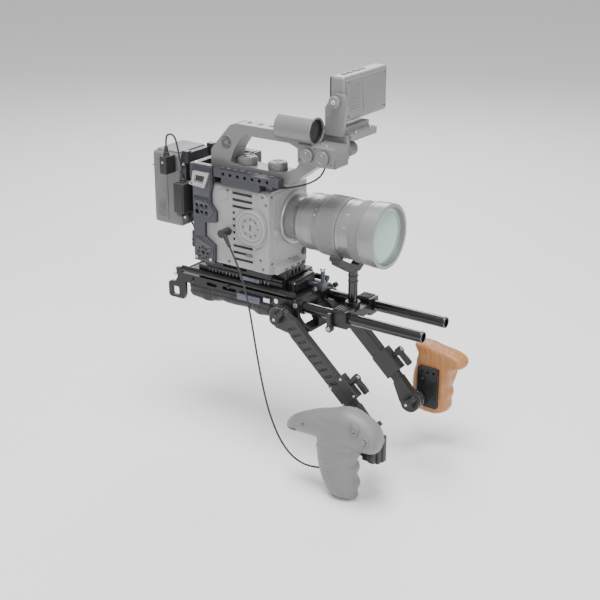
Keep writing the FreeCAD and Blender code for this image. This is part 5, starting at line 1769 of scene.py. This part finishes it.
@dataclass
class Handle:
    """The handle's rosette, knurled knobs, dials, tube fittings and buttons."""

    middle: float = -31.5
    near: float = -45.5

    def build(self) -> None:
        """Adds the details from the foot to the head."""
        self.rosette()
        self.knobs()
        self.dials()
        self.tube()
        self.head()

    def rosette(self) -> None:
        """A toothed ring round a thread on both sides of the handle's rear corner."""
        x, z = 2, 234
        for side, face, back in (("near", self.near, True), ("far", self.middle + 14, False)):
            shift = 0.3 if back else -0.3
            ring = Shop.turned("rosette_%s" % side, (x, face + shift, z), Axis.Y,
                    [(9.4, 0), (9.4, 0.6), (8.9, 1.0), (8.2, 1.0), (7.9, 0.3), (3.4, 0.3), (3.2, 0.9),
                    (2.4, 0.9), (2.2, 0.1)], 40, back)
            fit(ring, Body.CAMERA, Paint.HANDLE)
            start, end = (face - 0.9, face + 0.4) if back else (face - 0.4, face + 0.9)
            tooth = Shop.block("tooth", (x - 0.35, start, z + 4.2), (x + 0.35, end, z + 7.6), 0.15, 1)
            fit(Shop.ring_of(tooth, (x, face, z), Axis.Y, 28, "rosette_teeth_%s" % side), Body.CAMERA,
                Paint.HANDLE)

    def knobs(self) -> None:
        """Grip ribs and a stepped cap on both knobs of the foot."""
        for name, x in (("rear_handle_knob", 27), ("front_handle_knob", 76)):
            rib = Shop.block("rib", (x - 0.8, self.middle + 11.8, 206.4), (x + 0.8, self.middle + 13.1,
                    214.0), 0.35, 2)
            ribs = Shop.ring_of(rib, (x, self.middle, 210), Axis.Z, 28, name + "_ribs")
            fit(ribs, name, Paint.HANDLE)
            cap = Shop.turned(name + "_cap", (x, self.middle, 214.3), Axis.Z,
                    [(11.4, 0), (11.4, 0.8), (10.4, 1.5), (7.6, 1.5), (7.0, 0.9), (3.4, 0.9), (3.0, 1.6),
                    (1.6, 1.6)], 40)
            fit(cap, name, Paint.HANDLE)

    def dials(self) -> None:
        """A rim, a ribbed edge and a pointer on both side dials."""
        for name, x in (("rear_dial", 134), ("front_dial", 158)):
            face = self.middle - 17 - 3.3
            rim = Shop.turned(name + "_rim", (x, face + 0.3, 236), Axis.Y, [(9.2, 0), (9.2, 0.8), (8.6, 1.4),
                    (6.6, 1.4), (6.2, 0.7), (2.0, 0.7), (1.8, 1.1), (1.0, 1.1)], 44, back=True)
            fit(rim, name, Paint.HANDLE)
            pointer = Shop.block(name + "_pointer", (x - 0.4, face - 0.9, 239), (x + 0.4, face - 0.2, 241.6),
                    0.15, 1)
            fit(pointer, name, Paint.PALE)
            rib = Shop.block("rib", (x - 0.4, face + 0.5, 236 + 8.8), (x + 0.4, face + 2.6, 236 + 9.5), 0.2,
                    1)
            fit(Shop.ring_of(rib, (x, face, 236), Axis.Y, 30, name + "_ribs"), name, Paint.HANDLE)

    def tube(self) -> None:
        """Rubber rings inside the microphone tube and the screw of its clamp."""
        for index, x in enumerate((87.2, 110, 134.5)):
            ring = Shop.turned("tube_ring_%d" % index, (x, -37.5, 265.5), Axis.X,
                               [(15.45, 0), (15.45, 5), (14.7, 4.4), (14.3, 2.5), (14.7, 0.6)], 56)
            hole = Shop.turned("hole", (x - 2, -37.5, 265.5), Axis.X, [(14.2, 0), (14.2, 10)], 56)
            fit(Shop.carve(ring, hole), Body.CAMERA, Paint.DARK)
        lip = Shop.turned("tube_lip", (138.6, -37.5, 265.5), Axis.X, [(17.9, 0), (18.1, 0.5), (18.1, 2.2),
                (17.5, 2.7)], 64)
        bore = Shop.turned("hole", (136, -37.5, 265.5), Axis.X, [(15.5, 0), (15.5, 8)], 64)
        fit(Shop.carve(lip, bore), Body.CAMERA, Paint.HANDLE)
        screw = Shop.turned("tube_screw", (126.5, -14.6, 262), Axis.Y, [(3, 0), (3, 3), (5.4, 3.6), (6, 4.4),
                (6, 9), (5.2, 10)], 36)
        fit(screw, Body.CAMERA, Paint.DARK)

    def head(self) -> None:
        """A button and screws on the head, finger ridges under the bar, rings on the bar and the mount's
        fins.
        """
        for index, (x, z) in enumerate(((146, 246), (122.5, 229), (170, 229))):
            screw = screw_head("head_screw_%d" % index, (x, self.middle - 16.8, z), Axis.Y, 1.4, back=True)
            fit(screw, Body.CAMERA, Paint.CAMERA_DARK)
        button = Shop.turned("head_button", (158, -40, 249.4), Axis.Z, [(4.6, 0), (4.6, 0.9), (4.0, 1.2),
                (3.6, 0.8), (2.8, 1.6), (1.6, 1.8)], 32)
        fit(button, Body.CAMERA, Paint.HANDLE)
        ridge = Shop.block("bar_ridge", (36, self.near + 3, 245.9), (38.2, self.middle + 11, 247.2), 0.5, 2)
        fit(Shop.copies(ridge, [(5.4 * step, 0, 0) for step in range(1, 12)], "bar_ridges"), Body.CAMERA,
            Paint.HANDLE)
        for index, x in enumerate((31, 49, 67)):
            ring = Shop.turned("bar_ring_%d" % index, (x, self.middle, 260.6), Axis.Z,
                    [(4.2, 0), (4.2, 0.4), (3.8, 0.7), (3.2, 0.7)], 28)
            hole = Shop.turned("hole", (x, self.middle, 259), Axis.Z, [(2.9, 0), (2.9, 4)], 28)
            fit(Shop.carve(ring, hole), Body.CAMERA, Paint.HANDLE)
        fin = Shop.turned("mount_fins", (165, -6.6, 239), Axis.Y,
                [(8.4, 0)] + [pair for step in range(6) for pair in ((9.6, 0.5 + 2.4 * step),
                (9.6, 1.6 + 2.4 * step), (8.2, 1.9 + 2.4 * step), (8.2, 2.6 + 2.4 * step))], 36)
        fit(fin, Body.CAMERA, Paint.HANDLE)


# ------------------------------------------------------------------ monitor


@dataclass
class Monitor:
    """The monitor's screen, rear shell, ports and the mount's screws."""

    left: float = -13.0
    rear: float = 144.0
    front: float = 165.0

    def build(self) -> None:
        """Adds the screen, the shell's panels and the mount's details."""
        screen = Shop.block("monitor_screen", (self.rear - 0.8, self.left + 6, 279),
                (self.rear + 0.4, self.left + 99, 328), 0.8, 3)
        fit(screen, "monitor", Paint.SCREEN)
        bezel = Shop.block("monitor_bezel", (self.rear - 1.6, self.left + 1.5, 275),
                (self.rear + 1, self.left + 103.5, 331), 1.4, 3)
        window = Shop.block("window", (self.rear - 4, self.left + 6, 279), (self.rear + 4, self.left + 99,
                328), 0.5, 1)
        fit(Shop.carve(bezel, window), "monitor", Paint.DARK)
        panel = Shop.block("monitor_panel", (self.front - 0.6, self.left + 5, 278),
                (self.front + 1.6, self.left + 100, 328.5), 1.6, 4)
        fit(panel, "monitor", Paint.MONITOR)
        slot = Shop.block("monitor_slot", (self.front + 1.0, self.left + 44, 283),
                (self.front + 2.6, self.left + 92, 323), 1.2, 3)
        fit(slot, "monitor", Paint.MONITOR)
        vent = Shop.block("monitor_vent", (self.front + 1.0, self.left + 12, 288),
                (self.front + 2.2, self.left + 34, 289.6), 0.4, 2)
        fit(Shop.copies(vent, [(0, 0, 4 * step) for step in range(1, 9)], "monitor_vents"), "monitor",
                Paint.MONITOR)
        for index, (y, z) in enumerate(((9, 281.5), (96, 281.5), (9, 325), (96, 325))):
            screw = screw_head("monitor_screw_%d" % index, (self.front + 1.2, self.left + y, z), Axis.X, 1.5)
            fit(screw, "monitor", Paint.CAMERA_DARK)
        for index, y in enumerate((70, 80)):
            port = Shop.turned("monitor_port_%d" % index, (154, self.left + y, 273.8), Axis.Z,
                               [(4, 0), (4, 1), (3.4, 1.4), (2.4, 1.4), (2.2, 0.6)], 28, back=True)
            fit(port, "monitor", Paint.CAMERA_DARK)
        key = Shop.block("monitor_key", (150, self.left + 14, 332), (156, self.left + 24, 333.3), 0.5, 2)
        fit(Shop.copies(key, [(0, 14, 0), (0, 28, 0), (0, 42, 0)], "monitor_keys"), "monitor",
                Paint.CAMERA_DARK)
        pivot = Shop.turned("pivot_knob", (157, -19.2, 302), Axis.Y, [(7.4, 0), (7.4, 1), (8, 1.6), (8, 4.6),
                (7.2, 5.4), (3, 5.4)], 40, back=True)
        fit(pivot, Body.CAMERA, Paint.MONITOR)
        fit(screw_head("pivot_bolt", (157, -24.2, 302), Axis.Y, 3.0, back=True), Body.CAMERA, Paint.STEEL)
        rib = Shop.block("rib", (156.5, -23.6, 309.4), (157.5, -20.8, 310.4), 0.25, 1)
        fit(Shop.ring_of(rib, (157, 0, 302), Axis.Y, 24, "pivot_knob_ribs"), Body.CAMERA, Paint.MONITOR)
        for index, (x, y) in enumerate(((134, 8), (170, 8), (134, 44), (170, 44))):
            screw = screw_head("mount_screw_%d" % index, (x, y, 259.8), Axis.Z, 2.2)
            fit(screw, Body.CAMERA, Paint.STEEL)


# ------------------------------------------------------------------ frame


@dataclass
class Frame:
    """The shoulder frame's screws, rod ends, ridges, knurls, ticks and the lens support's fittings."""

    side: float = -43.5

    def build(self) -> None:
        """Adds the details from the hooks to the rods' ends."""
        for sign, name in ((1, "right"), (-1, "left")):
            face = self.side * sign
            back = sign > 0
            for index, (x, z) in enumerate(((-66, 24.5), (-2, 28.6), (30, 24.5), (118, -3.5), (104, 28))):
                washer = Shop.turned("%s_washer_%d" % (name, index), (x, face + (0.2 * sign), z), Axis.Y,
                                     [(3.9, 0), (3.9, 0.5), (3.6, 0.8), (3.0, 0.8)], 32, back)
                fit(washer, Body.FRAME, Paint.ROD)
                screw = screw_head("%s_frame_screw_%d" % (name, index), (x, face - 0.5 * sign, z), Axis.Y,
                        2.7, back)
                fit(screw, Body.FRAME, Paint.FRAME)
            self.ends(name, 30 * -sign)
        self.levers()
        self.block_details()
        self.support()

    def ends(self, name: str, y: float) -> None:
        """A lip and thread rings in the end of a rod."""
        lip = Shop.turned(name + "_rod_lip", (298.6, y, 20), Axis.X, [(7.65, 0), (7.65, 1.2), (7.2, 1.9)], 48)
        bore = Shop.turned("hole", (296, y, 20), Axis.X, [(6.0, 0), (6.0, 6)], 48)
        fit(Shop.carve(lip, bore), Body.FRAME, Paint.ROD)
        for step in range(3):
            ring = Shop.turned("%s_thread_%d" % (name, step), (292 + 2 * step, y, 20), Axis.X,
                    [(6.05, 0), (6.05, 0.8)], 40)
            hole = Shop.turned("hole", (290 + 2 * step, y, 20), Axis.X, [(5.6, 0), (5.6, 4)], 40)
            fit(Shop.carve(ring, hole), Body.FRAME, Paint.ROD)

    def levers(self) -> None:
        """Finger ridges on both latches."""
        for name, x, y, z in (("sled_latch", 34, -41.6, 45.1), ("pad_latch", 38, -48.3, 19.5)):
            rib = Shop.block("rib", (x, y - 0.9, z - 2.2), (x + 1.0, y + 0.4, z + 2.2), 0.3, 2)
            fit(Shop.copies(rib, [(2.4 * step, 0, 0) for step in range(1, 6)], name + "_ridges"), name,
                    Paint.LEVER)

    def block_details(self) -> None:
        """Screws on the front block, knurls on the lock screw and scale ticks on the clamp."""
        for index, (y, z) in enumerate(((-24.5, 47.5), (24.5, 47.5), (24.5, 33.5))):
            fit(screw_head("block_screw_%d" % index, (96.7, y, z), Axis.X, 1.6), Body.FRAME, Paint.STEEL)
        rib = Shop.block("rib", (115.2, 9.4, 38 + 6.2), (121.8, 10.6, 38 + 7.2), 0.3, 1)
        fit(Shop.ring_of(rib, (114, 10, 38), Axis.X, 22, "lock_knurl"), "lock_screw", Paint.LEVER)
        cap = Shop.turned("lock_stalk_cap", (120, 10, 60), Axis.Z, [(3.1, 0), (3.9, 0.8), (3.9, 3.4),
                (3.1, 4.4)], 28)
        fit(cap, "lock_screw", Paint.STEEL)
        tick = Shop.block("tick", (-40, -37.25, 41.5), (-39.5, -36.9, 45.5), 0.1, 1)
        fit(Shop.copies(tick, [(6 * step, 0, 0) for step in range(1, 18)], "clamp_ticks"), Body.FRAME,
                Paint.PALE)
        for index, x in enumerate((-36, -12, 12, 36, 60)):
            fit(screw_head("rail_screw_%d" % index, (x, -36.9, 34.6), Axis.Y, 1.5, back=True), Body.FRAME,
                    Paint.STEEL)

    def support(self) -> None:
        """Bands on the post, rollers' caps, and finned tops and knobs on the rod clamps."""
        for index, z in enumerate((60, 68)):
            band = Shop.turned("post_band_%d" % index, (175, 0, z), Axis.Z, [(6.6, 0), (7.1, 0.4), (7.1, 1.6),
                    (6.6, 2.0)], 40)
            fit(band, Body.MAST, Paint.DARK)
        for side, y in (("right", -42), ("left", 42)):
            roller = Shop.turned("roller_%s" % side, (166.4, y, 103.6), Axis.X,
                    [(3.4, 0), (4.7, 0.8), (4.7, 4.6), (4.2, 5.2), (4.2, 12), (4.7, 12.6), (4.7, 16.4),
                    (3.4, 17.2)], 32)
            fit(roller, Body.MAST, Paint.DARK)
        for side, y in (("right", -30), ("left", 30)):
            fin = Shop.block("fin", (169.5, y - 9.5, 30.4), (171.3, y + 9.5, 32.4), 0.4, 2)
            fit(Shop.copies(fin, [(3.6 * step, 0, 0) for step in range(1, 5)], "clamp_fins_%s" % side),
                    Body.SUPPORT, Paint.FRAME)
            sign = -1 if y < 0 else 1
            cap = screw_head("rod_lever_screw_%s" % side, (168, y + sign * 17.6, 6), Axis.Y, 2.6,
                    back=sign < 0)
            fit(cap, "%s_rod_lever" % side, Paint.STEEL)


# ------------------------------------------------------------------ arms


@dataclass
class Arms:
    """The telescopic arms' screws, rosettes, rims and slides, for both sides."""

    angle: float = 42.5
    pivot: Point = (95.0, 0.0, 9.5)
    outer: float = -61.0
    inner: float = -50.0
    reach: float = 194.0

    def place(self, piece: bpy.types.Object, body: str, paint: Paint, slot: str = "") -> None:
        """Turns a piece built along X into the right arm's place, and mirrors it to the left.

        Args:
            piece: the piece, built with the pivot at the origin.
            body: the body's name without its side.
            paint: its finish.
            slot: its material slot, where it isn't the finish's usual one; not used.
        """
        Shop.turn_about(piece, (0, 0, 0), Axis.Y, self.angle)
        for vertex in piece.data.vertices:
            vertex.co += Vector(self.pivot) * MM
        name = piece.name
        piece.name = "right_" + name
        other = Shop.mirrored(piece, "left_" + name)
        fit(piece, "right_" + body, paint)
        fit(other, "left_" + body, paint)

    def build(self) -> None:
        """Adds every detail to both arms."""
        self.shell()
        self.joints()
        self.slide()

    def shell(self) -> None:
        """Rims along the tube and screws at the block and the head."""
        for name, z in (("upper_rim", 17.4), ("lower_rim", -1.4)):
            rim = Shop.block(name, (30, self.outer - 0.5, z - 0.9), (112, self.outer + 0.6, z + 0.9), 0.4, 2)
            self.place(rim, "arm", Paint.ARM)
        for index, (x, z) in enumerate(((118, 22.5), (146, 22.5), (118, -0.5), (146, -0.5))):
            self.place(screw_head("block_bolt_%d" % index, (x, self.outer - 0.8, z), Axis.Y, 1.9, back=True),
                    "arm", Paint.STEEL)
        # A thin dark line on the block paints the shade in its split.
        seam = Shop.block("block_seam_shade", (113.6, self.outer - 1.25, 10.4), (150.2, self.outer - 0.9, 11.2),
                0.15, 1)
        self.place(seam, "arm", Paint.DARK, "arm_charcoal")
        fin = Shop.block("fin", (118, self.outer + 1, 26.2), (119.6, self.inner - 1, 27.5), 0.3, 2)
        self.place(Shop.copies(fin, [(3.2, 0, 0), (22, 0, 0), (25.2, 0, 0)], "block_fins"), "arm", Paint.ARM)
        # Dark plates sit in the chevron pockets: painted shade where the pockets' depth falls dark.
        for index in range(9):
            start = 20 + 11.5 * index
            lip = Shop.cast("chevron_pocket_shade_%d" % index, "XZ", [(start + 0.6, 2.4), (start + 3.0, 2.4),
                    (start + 7.8, 13.6), (start + 5.4, 13.6)], self.outer + 0.5, self.outer + 1.5, 0.3, 1)
            self.place(lip, "arm", Paint.DARK, "arm_charcoal")

    def joints(self) -> None:
        """Toothed rings and levers' caps at the upper and the lower joint."""
        lever_face = self.outer - 8.3
        cap = Shop.turned("arm_lever_cap", (0, lever_face + 0.4, 0), Axis.Y,
                [(6.6, 0), (6.6, 0.9), (6.0, 1.6), (4.0, 1.6), (3.6, 0.8), (2.6, 0.8)], 32, back=True)
        self.place(cap, "arm_lever", Paint.DARK_LEVER)
        self.place(screw_head("arm_lever_bolt", (0, lever_face + 0.1, 0), Axis.Y, 2.4, back=True),
                "arm_lever", Paint.STEEL)
        tooth = Shop.block("tooth", (-0.5, self.outer + 0.2, 11.2), (0.5, self.outer + 10.8, 14.5), 0.2, 1)
        self.place(Shop.ring_of(tooth, (0, 0, 0), Axis.Y, 40, "upper_teeth"), "arm", Paint.STEEL)
        low = Shop.block("tooth", (self.reach - 0.5, self.outer + 0.4, 11.2),
                (self.reach + 0.5, self.outer + 3.4, 14.5), 0.2, 1)
        self.place(Shop.ring_of(low, (self.reach, 0, 0), Axis.Y, 40, "lower_teeth"), "slider", Paint.STEEL)
        inner = self.inner + 8.3
        cap = Shop.turned("grip_lever_cap", (self.reach, inner - 0.4, 0), Axis.Y,
                          [(6.6, 0), (6.6, 0.9), (6.0, 1.6), (4.0, 1.6), (3.6, 0.8), (2.6, 0.8)], 32)
        self.place(cap, "grip_lever", Paint.DARK_LEVER)
        self.place(screw_head("grip_lever_bolt", (self.reach, inner - 0.1, 0), Axis.Y, 2.4), "grip_lever",
                   Paint.STEEL)

    def slide(self) -> None:
        """An edge strip on the slider, and ribs and a bolt on its lever."""
        strip = Shop.cast("slider_strip", "XZ", [(162, 12.6), (178, 11.6), (186, 10.4), (186, -9.4),
                (182, -9.8), (178, -2), (166, 1.4), (160, 1.4), (160, 12.6)], self.outer - 0.5,
                self.outer + 0.4, 0.4, 2)
        self.place(strip, "slider", Paint.ARM)
        rib = Shop.block("rib", (142, -59.6, 35.6), (143, -51.4, 42.6), 0.3, 1)
        self.place(Shop.copies(rib, [(2.6, 0, 0), (5.2, 0, 0), (7.8, 0, 0)], "slide_lever_ribs"),
                "slide_lever", Paint.DARK_LEVER)
        self.place(screw_head("slide_lever_bolt", (130, -55.5, 42.4), Axis.Z, 2.4), "slide_lever",
                Paint.STEEL)


# ------------------------------------------------------------------ finishes of the CAD nodes


NODE_PAINTS: dict[Paint, Sequence[str]] = {
    Paint.FRAME: ("right_side_plate", "left_side_plate", "base_plate", "cross_plate", "dovetail_clamp",
        "sled_plate", "riser_plate", "support_clamp", "front_block", "left_grip_plate", "pivot_bosses"),
    Paint.ROD: ("rods", "support_post"),
    Paint.ARM: ("right_arm", "left_arm", "right_slider", "left_slider"),
    Paint.LEVER: ("sled_latch", "pad_latch", "lock_screw"),
    Paint.DARK_LEVER: ("right_rod_lever", "left_rod_lever", "right_arm_lever", "left_arm_lever",
        "right_slide_lever", "left_slide_lever", "right_grip_lever", "left_grip_lever"),
    Paint.SLATE: ("cage_side", "cage_top"),
    Paint.SILVER: ("cable_clip",),
    Paint.STEEL: ("frame_fittings",),
    Paint.CAMERA: ("camera_body",),
    Paint.LENS: ("lens_barrel",),
    Paint.LENS_RING: ("zoom_ring", "focus_ring"),
    Paint.GLASS: ("lens_glass",),
    Paint.BATTERY: ("battery",),
    Paint.DARK: ("battery_plug", "converter_box", "power_outlet", "angle_jack", "support_cradle",
        "right_adapter"),
    Paint.HANDLE: ("top_handle", "rear_dial", "front_dial", "front_handle_knob", "rear_handle_knob"),
    Paint.MONITOR: ("monitor", "monitor_mount"),
    Paint.GRIP: ("right_grip", "record_button"),
    Paint.WOOD: ("left_grip",),
}


def dress_nodes() -> None:
    """Gives every CAD node its finish."""
    for paint, names in NODE_PAINTS.items():
        for name in names:
            dress(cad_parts[name], paint)
    dress(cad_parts["battery_plate"], Paint.SLATE)
    dress(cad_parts["shoulder_pad"], Paint.WOVEN)
    for name in ("remote_cable", "battery_lead", "outlet_lead", "handle_cable"):
        dress(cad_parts[name], Paint.CORD)


def main() -> None:
    """Builds the rig's looks, sub-assembly by sub-assembly."""
    logging.basicConfig(level=logging.INFO, format="%(message)s")
    Studio().build()
    build_cords()
    dress_nodes()
    ShoulderPad().build()
    for builder in BUILDERS:
        builder().build()
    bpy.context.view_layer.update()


BUILDERS: Sequence[type] = (RightGrip, WoodGrip, Lens, Camera, Battery, Cage, Handle, Monitor, Frame, Arms)


if __name__ == "__main__":
    main()
